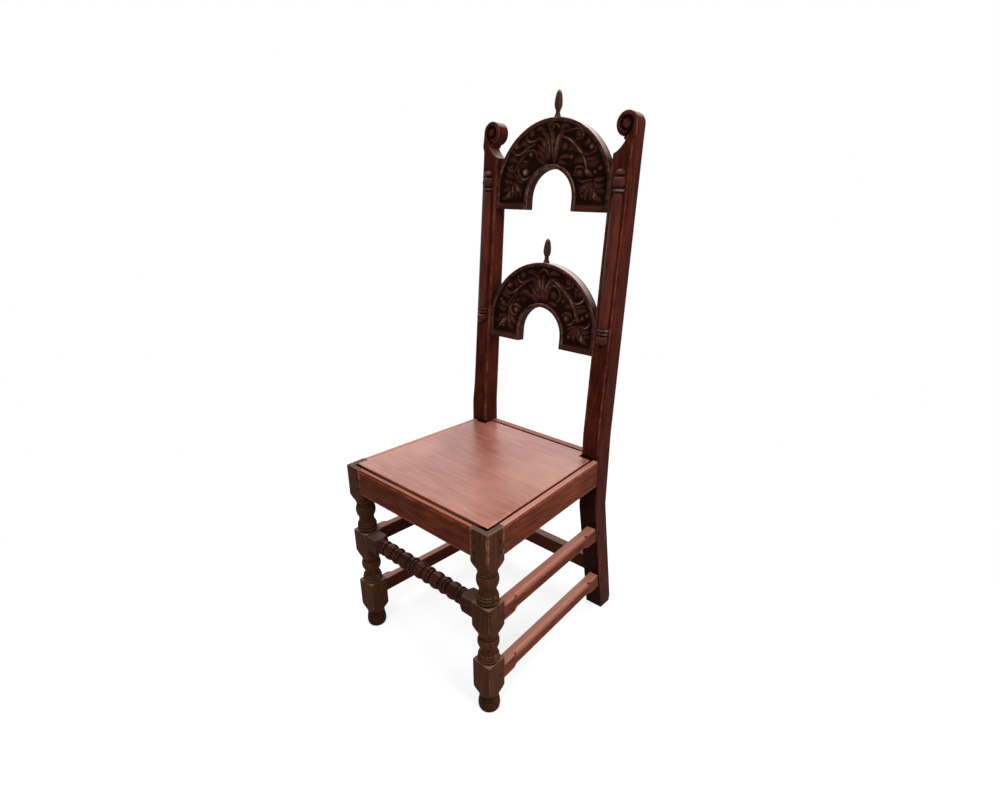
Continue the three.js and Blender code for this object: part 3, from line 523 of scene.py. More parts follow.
def rear_post_shells(arris):
    """The right rear post: a bar swept up the splayed heel, the upright part and the raked back to
    the neck, then the scroll head."""
    heel_back = HEEL_SPLAY + HEEL_DEPTH - POST_DEPTH
    z = np.unique(np.concatenate([np.array([0.0, 0.5, 1.5, 3.0, 14.0]), np.linspace(20, 500, 60),
                                  [LOWER_BEND - 4, LOWER_BEND, LOWER_BEND + 4],
                                  BOARD_HIGH[2] + np.array([-14.0, -12.0, 0.0, 2.5, 3.5, 5.0])]))
    front = post_face(z)
    back = POST_Y + POST_DEPTH + np.clip(LOWER_BEND - z, 0, None) * heel_back / LOWER_BEND
    back = np.minimum(back, POST_Y + HEEL_SPLAY + HEEL_DEPTH - 6 + z * 0.245)
    lower = points_of(POST_MIDDLE, (front + back) / 2, z)
    rise = np.unique(np.concatenate([np.linspace(3, SHOULDER_RISE, 80),
                                     np.linspace(SHOULDER_RISE, NECK_RISE + 3, 40)]))
    share = np.clip((rise - SHOULDER_RISE) / (NECK_RISE - SHOULDER_RISE), 0, 1)
    slope = monotone_curve(share, [0, 0.17, 0.37, 0.58, 0.8, 1], [0, 0.3, 0.55, 0.75, 0.9, 1])
    inner = POST_INNER + (POST_OUTER - SCROLL_NECK - POST_INNER) * slope
    depth = post_depth(rise)
    upper = in_back_plane((POST_OUTER + inner) / 2, depth / 2, rise)
    path = np.concatenate([lower, upper])
    half_x = np.concatenate([np.full_like(z, (POST_OUTER - POST_INNER) / 2), (POST_OUTER - inner) / 2])
    half_y = np.concatenate([(back - front) / 2, depth / 2])
    up = np.concatenate([np.tile([0.0, 1.0, 0.0], (len(z), 1)),
                         np.tile([0.0, math.cos(RAKE), -math.sin(RAKE)], (len(rise), 1))])
    outline = np.stack([np.stack([half_x, -half_x, -half_x, half_x], 1),
                        np.stack([half_y, half_y, -half_y, -half_y], 1)], -1)
    along = np.concatenate([z - UPPER_BEND, rise])
    chamfer = smooth_step(along, -45, 60) * smooth_step(-along, -NECK_RISE + 4, -NECK_RISE + 18)
    cut = np.full((len(path), 4), arris)
    cut[:, 3] = arris + chamfer * (POST_CHAMFER - arris)
    flat = np.zeros((len(path), 4))
    flat[:, 3] = chamfer * 0.9
    rings, wear, _ = moulded_bar(path, (1, 0, 0), up, outline, cut, flat, face_steps=7)
    # Painted shadow in a band across the front face where the board meets the post, and painted shade on the
    # front face below the seat rails
    above = rings[..., 2] - BOARD_HIGH[2]
    foot = smooth_step(above, -14, -12) * (1 - smooth_step(above, 2.0, 5.0))
    foot *= smooth_step(POST_Y + 3 - rings[..., 1], 0, 1) * smooth_step(POST_OUTER - rings[..., 0], 2, 5)
    inside = 1 - 0.6 * smooth_step(rings[..., 0], POST_OUTER - 1.5, POST_OUTER - 0.5)
    shade_below_seat = smooth_step(RAIL_BOTTOM - rings[..., 2], 0, 6)
    shade_below_seat *= smooth_step(post_face(rings[..., 2]) - rings[..., 1], -1.2, -0.4)
    grime = np.maximum(foot, 0.82 * shade_below_seat)
    return [(rings, wear * (1 - grime) * inside, grime), scroll_head(arris)]


def scroll_head(arris):
    """The scroll on the right post, in polar rings about its eye: a rolled rim and an eye, parted by
    a groove that winds in from the notch, then the wall and the plain back."""
    angle = np.linspace(0, 2 * np.pi, 180, endpoint=False)
    centre_x = POST_OUTER - SCROLL_RADIUS
    bottom = NECK_RISE - 5 - SCROLL_RISE
    turn = (angle + np.pi / 2 + SCROLL_STEM) % (2 * np.pi)
    to_side = SCROLL_REACH / np.maximum(np.cos(angle), 1e-3)
    to_bottom = bottom / np.minimum(np.sin(angle), -1e-3)
    stem = np.maximum(np.minimum(to_side, to_bottom), SCROLL_REACH)
    in_stem = smooth_step(turn, 0.0, 0.12) * (turn < np.pi / 2 + SCROLL_STEM)
    reach = SCROLL_REACH + (stem - SCROLL_REACH) * in_stem
    share = np.concatenate([np.linspace(0.02, 0.9, 52), np.linspace(0.9, 1, 14)[1:]])[:, None]
    radius = share * reach
    first = 13.8 + 10.2 * np.exp(-turn / 0.5) - 0.45 * turn
    second = first[..., None].min() - 0.62 * turn
    relief = np.zeros_like(radius)
    for groove_at, width, deep in ((first, 2.2, 7.5), (second, 1.5, 4.6 * (1 - smooth_step(turn, 2.8, 4.6)))):
        relief = np.maximum(relief, deep * np.exp(-((radius - groove_at) / width) ** 2))
    rim_centre = (first + SCROLL_RADIUS) / 2
    rim = np.clip(1 - ((radius - rim_centre) / np.maximum(SCROLL_RADIUS - rim_centre, 1)) ** 2, 0, 1)
    relief += 1.4 * (1 - rim) * (radius > first) * smooth_step(turn, 0.9, 2.0)
    inside = smooth_step(first - radius, -0.5, 1.5)
    relief += inside * (1.6 - 1.6 * np.sqrt(np.clip(1 - (radius / 13.5) ** 2, 0, 1)))
    edge = np.clip((radius - (reach - SCROLL_EDGE)) / SCROLL_EDGE, 0, 0.985)
    relief += SCROLL_EDGE * (1 - np.sqrt(1 - edge**2))
    x = centre_x + radius * np.cos(angle)
    z = SCROLL_RISE + radius * np.sin(angle)
    front = in_back_plane(x, relief + 0.05, z)
    deep = post_depth(SCROLL_RISE)
    wall = in_back_plane(centre_x + reach * np.cos(angle),
                         np.concatenate([np.linspace(4, deep - 1.2, 8), [deep - 0.3]])[:, None],
                         SCROLL_RISE + reach * np.sin(angle))
    back_share = np.array([0.97, 0.6, 0.2])[:, None]
    back = in_back_plane(centre_x + reach * back_share * np.cos(angle), deep - 0.05,
                         SCROLL_RISE + reach * back_share * np.sin(angle))
    rings = np.concatenate([front, wall, back])
    wear = np.zeros(rings.shape[:2])
    # The rim, the outer edge and the eye are worn lighter, partly as a painted highlight
    wear[: len(front)] = 0.5 * rim * (radius > first) + 0.9 * (share > 0.95) + 0.45 * inside
    hollow = np.zeros_like(wear)
    # Painted shade that deepens with the grooves, over a darker front
    hollow[: len(front)] = np.clip(0.22 + relief / 4.5, 0, 1) * (share < 0.93)
    return rings, wear, hollow


def front_stretcher_shell(arris):
    """The turned stretcher between the front legs: bobbins with half-round sides, every second one
    reeded with two fine grooves, collars, and tongues that run out into the square ends."""
    half = FRONT_STRETCHER_HALF
    turned_half = LEG_INNER - SHOULDER_GAP - FRONT_STRETCHER_SQUARE
    x = np.linspace(0, turned_half, 300)
    valleys = np.array([-0.097, 0.097, 0.28, 0.489, 0.664, 0.869]) * turned_half
    i = np.clip(np.searchsorted(valleys, x) - 1, 0, 4)
    middle, reach = (valleys[i] + valleys[i + 1]) / 2, (valleys[i + 1] - valleys[i]) / 2
    a = (x - middle) / reach
    radius = half * (0.67 + 0.325 * np.clip(1 - a**2, 0, 1) ** 0.85)
    reed = np.exp(-((np.abs(a) - 0.36) / 0.12) ** 2) * (i % 2 == 1)
    radius -= half * 0.11 * reed
    collar = np.array([[0.869, 0.76], [0.882, 0.9], [0.905, 0.945], [0.93, 0.94], [0.945, 0.87],
                       [0.955, 0.87], [0.965, 0.92], [0.985, 0.93], [1.0, 0.9]])
    radius = np.where(x > valleys[-1], half * monotone_curve(x / turned_half, collar[:, 0], collar[:, 1]),
                      radius)
    wide = half * math.sqrt(2) + CLEAR
    share = np.linspace(0, 1, 24)
    tongue = monotone_curve(share, 1 - TONGUE[::-1, 0], TONGUE[::-1, 1])
    rows = list(zip(x, radius))
    rows += list(zip(turned_half + 0.05 + 13 * share, wide + (radius[-1] - wide) * tongue))
    rows += [(value, wide) for value in np.linspace(turned_half + 14, LEG_INNER - SHOULDER_GAP, 8)]
    side = np.array(rows)
    other = side[1:][::-1] * np.array([-1, 1])
    profile = np.concatenate([other, side])
    centre = np.array([0, FRONT_Y + RAIL_SETBACK + half, FRONT_STRETCHER_TOP - half])
    return turned_square(profile, centre, half, arris, *np.eye(3))


def side_stretcher_shell(top, arris):
    """A side stretcher: a bar along its tapering line, with a wide chamfer on both outer edges that
    stops short of the ends."""
    bottom = top - SIDE_STRETCHER_HEIGHT
    reach = float(post_face(top))
    near, far = LEG_BACK_Y + SHOULDER_GAP, reach - SHOULDER_GAP
    y = np.unique(np.concatenate([np.linspace(near, far, 50), near + np.linspace(30, 48, 14),
                                  far - np.linspace(30, 48, 14)]))
    chamfer = smooth_step(y - near, *CHAMFER_STOP) * smooth_step(far - y, *CHAMFER_STOP)
    w = SIDE_STRETCHER_WIDTH
    outline = np.array([[0, bottom], [0, top], [-w, top], [-w, bottom]])
    cut = np.full((len(y), 4), arris)
    cut[:, :2] += chamfer[:, None] * (SIDE_STRETCHER_CHAMFER - arris)
    flat = np.zeros_like(cut)
    flat[:, :2] = chamfer[:, None] * 0.8
    rings, wear, hollow = moulded_bar(points_of(side_outer(y), y, 0), (1, 0, 0), (0, 0, 1), outline, cut,
                                      flat)
    # Painted shade on the inner face below the top edge, which is also less worn
    inward = smooth_step(side_outer(rings[..., 1]) - rings[..., 0], w - 2.5, w - 0.5)
    hollow = np.maximum(hollow, 0.6 * inward * smooth_step(top - rings[..., 2], 0.5, 3.0))
    wear = wear * (1 - 0.7 * inward)
    lean = np.clip((rings[..., 1] - (reach - 60)) / 60, 0, 1)
    rings[..., 1] += lean * (post_face(rings[..., 2]) - reach)
    return rings, wear, hollow


def rear_stretcher_shell(arris):
    """The plain bar between the heels of the rear posts."""
    low, high = REAR_STRETCHER_LOW, REAR_STRETCHER_HIGH
    outline = np.array([[low[1], low[2]], [high[1], low[2]], [high[1], high[2]], [low[1], high[2]]])
    return cross_bar(POST_INNER - SHOULDER_GAP, 50, outline, arris, 6)


# Strokes of the carving in each arch: kind, half width, height share, then the points of the middle
# line in turn, each by its millimetres across the arch and up from its foot
STEM, LEAF, BUD = "stem", "leaf", "bud"
UPPER_CARVING = [
    (LEAF, 5.5, 0.65, -22, 152, -36, 164, -50, 163),
    (LEAF, 6.1, 0.7, -70, 132, -82, 137, -92, 131),
    (LEAF, 6.6, 0.7, -98, 98, -110, 106, -124, 100),
    (LEAF, 6.1, 0.7, -90, 104, -78, 98, -64, 100),
    (LEAF, 6.1, 0.65, -92, 94, -80, 91, -68, 91),
    (LEAF, 6.6, 0.7, -108, 42, -122, 42, -138, 36),
    (LEAF, 5.5, 0.7, 16, 156, 26, 167, 40, 165),
    (LEAF, 6.6, 0.8, 8, 112, 14, 130, 20, 142),
    (LEAF, 6.3, 0.7, 88, 104, 102, 101, 116, 106),
    (LEAF, 6.1, 0.7, 92, 92, 106, 92, 120, 96),
    (LEAF, 6.1, 0.7, 84, 98, 70, 100, 58, 96),
    (LEAF, 6.1, 0.7, 42, 120, 54, 124, 64, 116),
    (LEAF, 5.8, 0.7, 44, 134, 54, 130, 62, 123),
    (LEAF, 6.6, 0.7, 114, 42, 128, 42, 140, 38),
    (LEAF, 5.8, 0.7, 90, 48, 82, 44, 76, 48),
    (LEAF, 5.8, 0.7, 82, 128, 90, 134, 88, 142),
    (LEAF, 6.1, 1, 6, 98, 3, 118, 0, 138, -6, 156, -14, 166),
    (LEAF, 6.5, 0.95, 6, 98, 9, 120, 13, 142, 22, 154, 33, 155),
    (LEAF, 6.8, 0.95, -8, 106, -10, 128, -18, 148, -32, 156),
    (LEAF, 6.1, 0.9, -10, 104, -18, 126, -28, 140, -40, 145),
    (LEAF, 5.5, 0.9, -14, 104, -26, 122, -42, 132),
    (LEAF, 5.3, 0.85, -18, 98, -28, 112, -42, 121),
    (LEAF, 5.0, 0.8, -20, 94, -32, 102, -44, 106),
    (LEAF, 5.0, 0.8, 0, 168, -10, 172, -22, 168),
    (STEM, 3.2, 0.9, -6, 160, 0, 170, 9, 170, 13, 163),
    (LEAF, 4.5, 0.8, 18, 102, 30, 108, 44, 108, 53, 104),
    (LEAF, 4.6, 0.8, 16, 98, 28, 96, 40, 92),
    (BUD, 8.2, 0.85, 31, 127),
    (BUD, 5.0, 0.9, 50, 107),
    (STEM, 3.8, 0.95, 24, 147, 36, 143, 49, 137, 64, 124, 78, 111, 87, 96, 91, 82, 96, 74),
    (LEAF, 7.0, 1, 89, 84, 96, 75, 107, 69),
    (STEM, 3.2, 0.85, 24, 155, 40, 157, 56, 160, 70, 158, 76, 149, 70, 141, 60, 141),
    (BUD, 6.9, 0.85, 65, 150),
    (BUD, 6.4, 0.95, 100, 125),
    (STEM, 3.4, 0.85, 70, 118, 84, 111, 97, 111, 108, 117, 111, 126),
    (BUD, 8.7, 0.85, 74, 75),
    (STEM, 3.4, 0.9, 104, 62, 93, 60, 82, 58, 73, 62),
    (STEM, 3.4, 0.85, 62, 70, 65, 84, 75, 88, 85, 82),
    (BUD, 5.5, 0.95, 124, 84),
    (BUD, 4.6, 0.9, 113, 77),
    (LEAF, 5.9, 0.9, 112, 58, 122, 50, 136, 52),
    (LEAF, 5.5, 0.85, 112, 64, 124, 62, 136, 66),
    (LEAF, 8.3, 1, 103, 56, 110, 40, 120, 28, 134, 21),
    (LEAF, 6.6, 0.9, 102, 54, 106, 38, 108, 24),
    (LEAF, 6.6, 0.9, 100, 54, 94, 38, 94, 24),
    (LEAF, 6.3, 0.9, 98, 56, 86, 44, 78, 34),
    (BUD, 4.2, 0.9, 86, 30),
    (BUD, 7.3, 0.9, -61, 155),
    (STEM, 3.8, 0.9, -38, 146, -50, 141, -62, 139, -72, 144, -75, 152),
    (BUD, 6.9, 0.9, -101, 131),
    (STEM, 3.8, 0.9, -50, 134, -66, 128, -80, 119, -92, 114, -105, 115, -112, 122),
    (BUD, 5.9, 0.9, -59, 114),
    (STEM, 3.2, 0.8, -40, 108, -46, 118, -58, 123, -68, 119),
    (STEM, 3.8, 0.85, -66, 122, -84, 106, -96, 90, -102, 76),
    (BUD, 8.7, 1, -71, 78),
    (STEM, 4.4, 0.95, -91, 86, -90, 74, -82, 65, -70, 63, -60, 68),
    (LEAF, 5.5, 0.9, -101, 74, -92, 63, -78, 56),
    (LEAF, 5.9, 0.9, -126, 90, -114, 82, -100, 76),
    (LEAF, 5.5, 0.85, -130, 76, -116, 70, -104, 66),
    (LEAF, 5.5, 0.85, -132, 60, -120, 56, -106, 58),
    (BUD, 4.2, 0.9, -112, 90),
    (LEAF, 8.1, 1, -104, 54, -108, 38, -120, 27, -136, 21),
    (LEAF, 6.6, 0.95, -103, 54, -104, 40, -108, 24),
    (LEAF, 6.6, 0.95, -102, 54, -94, 40, -94, 25),
    (LEAF, 6.6, 0.95, -100, 54, -88, 42, -80, 28),
]
LOWER_CARVING = [
    (LEAF, 5.5, 0.65, -20, 156, -36, 164, -46, 160),
    (LEAF, 6.1, 0.7, -72, 128, -80, 136, -88, 134),
    (LEAF, 6.6, 0.7, -96, 98, -110, 104, -124, 106),
    (LEAF, 6.1, 0.7, -60, 104, -54, 98, -44, 102),
    (LEAF, 6.1, 0.65, -94, 96, -84, 92, -76, 96),
    (LEAF, 6.6, 0.7, -106, 42, -122, 40, -140, 38),
    (LEAF, 5.5, 0.7, 18, 160, 30, 167, 44, 163),
    (LEAF, 6.6, 0.8, 6, 112, 12, 130, 16, 146),
    (LEAF, 6.3, 0.7, 92, 102, 106, 100, 122, 104),
    (LEAF, 6.1, 0.7, 98, 90, 110, 92, 126, 98),
    (LEAF, 6.1, 0.7, 86, 98, 74, 98, 66, 94),
    (LEAF, 6.1, 0.7, 56, 126, 66, 122, 76, 110),
    (LEAF, 5.8, 0.7, 92, 120, 96, 136, 88, 142),
    (LEAF, 6.6, 0.7, 116, 42, 128, 40, 140, 38),
    (LEAF, 5.8, 0.7, -92, 36, -84, 26, -78, 22),
    (LEAF, 7.0, 1, 4, 104, 2, 124, 0, 144, 2, 160),
    (LEAF, 6.5, 0.95, -1, 110, -6, 132, -14, 152, -26, 161),
    (LEAF, 6.1, 0.95, -6, 106, -14, 128, -23, 146, -36, 150),
    (LEAF, 5.9, 0.9, -10, 104, -20, 120, -31, 130, -40, 132),
    (LEAF, 5.3, 0.85, -14, 100, -28, 110, -40, 108),
    (STEM, 3.4, 0.9, -12, 164, 0, 172, 10, 170, 16, 161),
    (LEAF, 6.5, 0.95, 8, 108, 13, 132, 22, 148, 36, 154),
    (STEM, 3.8, 0.85, 14, 106, 17, 124, 26, 138, 40, 138, 50, 128, 52, 114, 44, 104),
    (BUD, 8.2, 0.8, 33, 118),
    (BUD, 4.6, 1, 62, 108),
    (LEAF, 4.6, 0.85, 22, 100, 34, 98, 46, 96),
    (STEM, 4.0, 0.95, 30, 150, 44, 144, 56, 135, 66, 129),
    (STEM, 5.4, 1, 64, 130, 78, 117, 88, 104, 96, 90, 100, 76),
    (LEAF, 7.0, 1, 98, 80, 103, 73, 112, 71),
    (BUD, 7.7, 0.85, 72, 151),
    (STEM, 3.4, 0.85, 54, 142, 62, 137, 74, 138, 83, 145, 84, 154),
    (BUD, 7.3, 0.85, 106, 128),
    (STEM, 4.0, 0.95, 84, 110, 96, 107, 108, 110, 117, 119, 117, 128),
    (BUD, 8.7, 0.9, 74, 72),
    (STEM, 4.0, 0.95, 62, 76, 70, 82, 82, 82, 89, 74),
    (STEM, 3.8, 0.9, 78, 58, 90, 62, 97, 72),
    (BUD, 5.5, 0.95, 117, 77),
    (BUD, 5.5, 0.95, 129, 85),
    (STEM, 3.4, 0.9, 112, 60, 124, 57, 134, 62, 138, 72),
    (LEAF, 6.3, 0.95, 116, 52, 126, 48, 137, 50),
    (LEAF, 8.1, 1, 109, 54, 115, 38, 124, 28, 136, 21),
    (LEAF, 6.6, 0.9, 107, 56, 110, 42, 109, 26),
    (LEAF, 6.6, 0.9, 104, 54, 98, 40, 98, 25),
    (LEAF, 5.9, 0.9, 100, 56, 90, 52, 80, 48),
    (BUD, 4.8, 0.9, 85, 31),
    (LEAF, 5.9, 0.85, 100, 50, 90, 42, 82, 38),
    (BUD, 7.7, 0.9, -59, 154),
    (STEM, 3.9, 0.9, -28, 147, -42, 143, -58, 137, -70, 142, -74, 150),
    (BUD, 7.3, 0.9, -98, 128),
    (STEM, 4.0, 0.9, -50, 138, -64, 128, -78, 116, -92, 109, -104, 112, -110, 119),
    (LEAF, 7.3, 0.9, -36, 112, -50, 116, -66, 109),
    (BUD, 4.6, 0.85, -70, 96),
    (STEM, 3.8, 0.8, -72, 112, -86, 100, -97, 88, -100, 76),
    (BUD, 9.1, 0.9, -73, 73),
    (STEM, 4.4, 0.95, -89, 84, -92, 72, -85, 62, -74, 60),
    (STEM, 3.8, 0.9, -85, 82, -74, 85, -62, 80),
    (LEAF, 5.9, 0.9, -99, 66, -90, 57, -78, 56),
    (LEAF, 6.3, 0.9, -124, 88, -114, 82, -103, 77),
    (LEAF, 5.9, 0.85, -130, 74, -116, 68, -105, 70),
    (LEAF, 5.5, 0.85, -128, 52, -116, 52, -104, 56),
    (BUD, 4.2, 0.9, -122, 92),
    (LEAF, 7.7, 0.95, -98, 54, -94, 42, -92, 27),
    (LEAF, 6.6, 0.9, -100, 54, -104, 40, -107, 28),
    (LEAF, 7.7, 1, -102, 52, -114, 36, -130, 23),
    (LEAF, 6.3, 0.9, -94, 56, -82, 48, -76, 36),
    (BUD, 4.6, 0.9, -110, 30),
]


def rounded_path(points, count):
    """A smooth line through given points: a Catmull-Rom spline at even steps of its parameter."""
    points = np.asarray(points, float)
    padded = np.concatenate([2 * points[:1] - points[1:2], points, 2 * points[-1:] - points[-2:-1]])
    t = np.linspace(0, len(points) - 1 - 1e-6, count)
    i = t.astype(int)
    s = (t - i)[:, None]
    a, b, c, d = (padded[i + k] for k in range(4))
    return 0.5 * (2 * b + (c - a) * s + (2 * a - 5 * b + 4 * c - d) * s**2 + (3 * b - a - 3 * c + d) * s**3)


# How high the soft slope at the foot of a stroke starts
SLOPE_TOP = 0.3


def carved_height(x, z, strokes):
    """Height share of the carving over the ground at each point: the highest of all strokes, over the
    soft slopes that lead up to them. A stem is a half round, a leaf a blade with a sunk vein that
    narrows to both ends, a bud a ball in a trench."""
    height, slope = np.zeros_like(x), np.zeros_like(x)
    for kind, width, top, *places in strokes:
        points = np.reshape(places, (-1, 2))
        if kind == BUD:
            cx, cz = points[0]
            distance = np.hypot(x - cx, z - cz) / width
            ball = np.sqrt(np.clip(1 - distance**2, 0, 1)) ** 0.75
            height = np.maximum(height * smooth_step(distance, 0.98, 1.22), top * ball)
            slope = np.maximum(slope, SLOPE_TOP * np.clip(1 - (distance / 2.3) ** 2, 0, 1))
            continue
        line = rounded_path(points, 6 * len(points))
        margin = 2.4 * width + 1
        near = (np.abs(x - line[:, 0].mean()) < np.ptp(line[:, 0]) / 2 + margin) & (
            np.abs(z - line[:, 1].mean()) < np.ptp(line[:, 1]) / 2 + margin)
        px, pz = x[near], z[near]
        best = np.full(px.shape, 1e9)
        along = np.zeros_like(px)
        for k in range(len(line) - 1):
            ax, az = line[k]
            dx, dz = line[k + 1] - line[k]
            share = np.clip(((px - ax) * dx + (pz - az) * dz) / (dx * dx + dz * dz + 1e-9), 0, 1)
            distance = np.hypot(px - ax - share * dx, pz - az - share * dz)
            closer = distance < best
            best = np.where(closer, distance, best)
            along = np.where(closer, (k + share) / (len(line) - 1), along)
        if kind == LEAF:
            reach = width * (np.sin(np.pi * np.clip(along, 0.03, 0.985) ** 0.8) ** 0.55) + 0.4
            vein = 1 - 0.2 * np.exp(-((best / 1.1) ** 2)) * (along < 0.9)
            lift = 0.72 + 0.28 * np.sin(np.pi * along**0.7)
        else:
            reach = width * (0.8 + 0.2 * np.sin(np.pi * along))
            vein, lift = 1.0, 0.85 + 0.15 * np.sin(np.pi * along)
        round_top = np.clip(1 - (best / reach) ** 2, 0, 1) ** 0.6 * vein * lift
        trench = 1 - (1 - smooth_step(best - reach, -0.3, 1.3)) * smooth_step(along, 0.08, 0.3)
        height[near] = np.maximum(height[near] * trench, top * round_top)
        foot = SLOPE_TOP * np.clip(1 - (best / (2.2 * reach)) ** 2, 0, 1)
        slope[near] = np.maximum(slope[near], foot)
    return np.maximum(height, slope)


def gouge_marks(x, z):
    """Low unevenness of a ground cut by hand, from crossed waves, with small punched dots."""
    waves = np.sin(x / 3.1 + 1.7 * np.sin(z / 5.3)) * np.sin(z / 2.7 + 1.9 * np.sin(x / 6.1))
    dots = np.clip(np.sin(x * 2.2 + 0.6 * np.sin(z / 2)) * np.sin(z * 2.2 + 0.6 * np.sin(x / 2)), 0, 1)
    return 0.3 * waves + 0.28 * dots**2


# An arched rail: width of the border's flat, where its bevel ends, and the middle of its hollow moulding
BORDER_FLAT, BORDER_BEVEL, BORDER_MIDDLE = 7.6, 9.4, 4.0


def between(inner, outer, share):
    """Points from an inner to an outer line, by their shares of the way."""
    return inner[:, None] + (outer - inner)[:, None] * share


def arch_shell(leg, rise, strokes, depth, arris):
    """An arched rail: a grid along the arch and across it, from the opening to the crest. Its front
    has a border, a bevelled drop to the sunk ground, and the carving; walls and a plain back close it."""
    quarter = ARCH_RADIUS * np.pi / 2
    s = np.linspace(-leg - quarter, leg + quarter, 600)
    turn = np.clip(np.abs(s) / ARCH_RADIUS, 0, np.pi / 2)
    drop = np.clip(np.abs(s) - quarter, 0, None)
    side = np.sign(s)
    share = np.concatenate([[0, 0.004, 0.012], np.linspace(0.022, 0.978, 112), [0.988, 0.996, 1]])
    opening = leg - ARCH_OPENING_DROP
    inner_x = ARCH_OPENING * np.sin(turn) * side
    inner_z = ARCH_OPENING * np.cos(turn) + opening * (1 - drop / leg)
    outer_x = np.clip(ARCH_RADIUS * np.sin(turn) * side, -ARCH_REACH, ARCH_REACH)
    outer_z = ARCH_RADIUS * np.cos(turn) + leg - drop
    x, z = between(inner_x, outer_x, share), between(inner_z, outer_z, share)
    from_inner = np.where(z > opening, np.hypot(x, z - opening), np.abs(x)) - ARCH_OPENING
    from_outer = np.minimum(ARCH_RADIUS - np.hypot(x, np.maximum(z - leg, 0)), ARCH_REACH - np.abs(x))
    edge = np.minimum(from_inner, from_outer)
    field = np.minimum(smooth_step(edge, BORDER_FLAT, BORDER_BEVEL), smooth_step(z, 9.0, 16.5))
    carved = carved_height(x, z, strokes)
    ground = (depth + gouge_marks(x, z) * (1 - smooth_step(carved, 0.25, 0.6))) * field
    front = np.maximum(ground - (depth - 0.2) * carved * field, 0)
    off_middle = np.abs(np.minimum(edge, z) - BORDER_MIDDLE) / BORDER_MIDDLE
    moulding = 1.1 * np.clip(off_middle, 0, 1) ** 2 * (1 - field)
    front = front + np.maximum(rounded_over(arris, edge), moulding)
    wall_y = ARCH_RECESS + np.linspace(2.5, ARCH_THICKNESS - 0.6, 5)
    back_share = np.array([0.996, 0.98, 0.5, 0.02, 0.004])
    rings = np.concatenate([
        in_back_plane(x, ARCH_RECESS + front, rise + z),
        in_back_plane(outer_x[:, None], wall_y, rise + outer_z[:, None]),
        in_back_plane(between(inner_x, outer_x, back_share), ARCH_RECESS + ARCH_THICKNESS,
                      rise + between(inner_z, outer_z, back_share)),
        in_back_plane(inner_x[:, None], wall_y[::-1], rise + inner_z[:, None]),
    ], axis=1)
    wear = np.full(rings.shape[:2], 0.15)
    hollow = np.zeros_like(wear)
    inner_bevel, outer_bevel = (np.exp(-np.abs(away - 8) / 1.2) for away in (from_inner, from_outer))
    border_wear = 0.18 + 0.4 * np.exp(-edge / 2) + 0.6 * inner_bevel + 0.3 * outer_bevel
    wear[:, :len(share)] = np.where(field < 0.5, border_wear, 0.8 * smooth_step(carved, 0.66, 1.0))
    # Painted shade and dirt darken the sunk ground and the low parts of the carving
    hollow[:, :len(share)] = field * (1 - smooth_step(carved, 0.1, 0.7))
    return rings, wear, hollow


# Turned sections: share of the height or millimetres from the lower end, share of the largest radius
FINIAL = np.array([
    [0, 0.86], [0.02, 0.84], [0.09, 0.74], [0.125, 0.62], [0.135, 0.54], [0.15, 0.61], [0.175, 0.61],
    [0.185, 0.52], [0.195, 0.52], [0.21, 0.6], [0.235, 0.6], [0.25, 0.54], [0.28, 0.62], [0.33, 0.8],
    [0.42, 0.96], [0.5, 1.0], [0.58, 0.975], [0.69, 0.9], [0.79, 0.79], [0.88, 0.65], [0.95, 0.45], [1, 0.06],
])
SPLIT = np.array([
    [0, 0.12], [1, 0.42], [3, 0.66], [6.5, 0.86], [11, 0.96], [14.5, 0.98], [18, 0.92], [21, 0.8],
    [23, 0.64], [24, 0.58], [25, 0.74], [26.5, 0.84], [28.5, 0.86], [30, 0.8], [31, 0.64], [32, 0.8],
    [33.5, 0.95], [36, 0.97], [37.5, 0.9], [38.5, 0.74], [41, 0.76], [46, 0.82], [106, 0.9], [177, 0.92],
    [248, 0.9], [290, 0.87], [299, 0.83], [303, 0.78], [307, 0.7], [309.5, 0.68], [310.5, 0.84],
    [312, 0.93], [314, 0.94], [315.5, 0.85], [316.5, 0.62], [317.5, 0.68], [320, 0.86], [324, 0.98],
    [328, 1.0], [332, 0.96], [336, 0.84], [338.5, 0.66], [339.5, 0.52], [340.5, 0.58], [343, 0.72],
    [346, 0.76], [349, 0.7], [351.5, 0.54], [353.2, 0.32], [354, 0.1],
]) / (SPLIT_LENGTH, 1)


def finial_shell(arch):
    """A finial: its turned profile swept round, standing on the crown of an arch in the raked plane."""
    crown = arch["rise"] + arch["leg"] + ARCH_RADIUS
    share = np.linspace(0, 1, 110)
    radius = FINIAL_RADIUS * monotone_curve(share, FINIAL[:, 0], FINIAL[:, 1])[:, None]
    angle = np.linspace(0, 2 * np.pi, 48, endpoint=False)
    rings = in_back_plane(radius * np.cos(angle), ARCH_RECESS + ARCH_THICKNESS / 2 + radius * np.sin(angle),
                          crown - FINIAL_SUNK + (FINIAL_HEIGHT + FINIAL_SUNK) * share[:, None])
    # Beads and the top are worn lighter, the beads partly as a painted highlight; painted shade in the
    # grooves
    bead, hollow = proud_and_sunk(radius[:, 0], 11, 0.5, 0.6)
    return rings, bead + 0.6 * smooth_step(share, 0.75, 1.0)[:, None], hollow


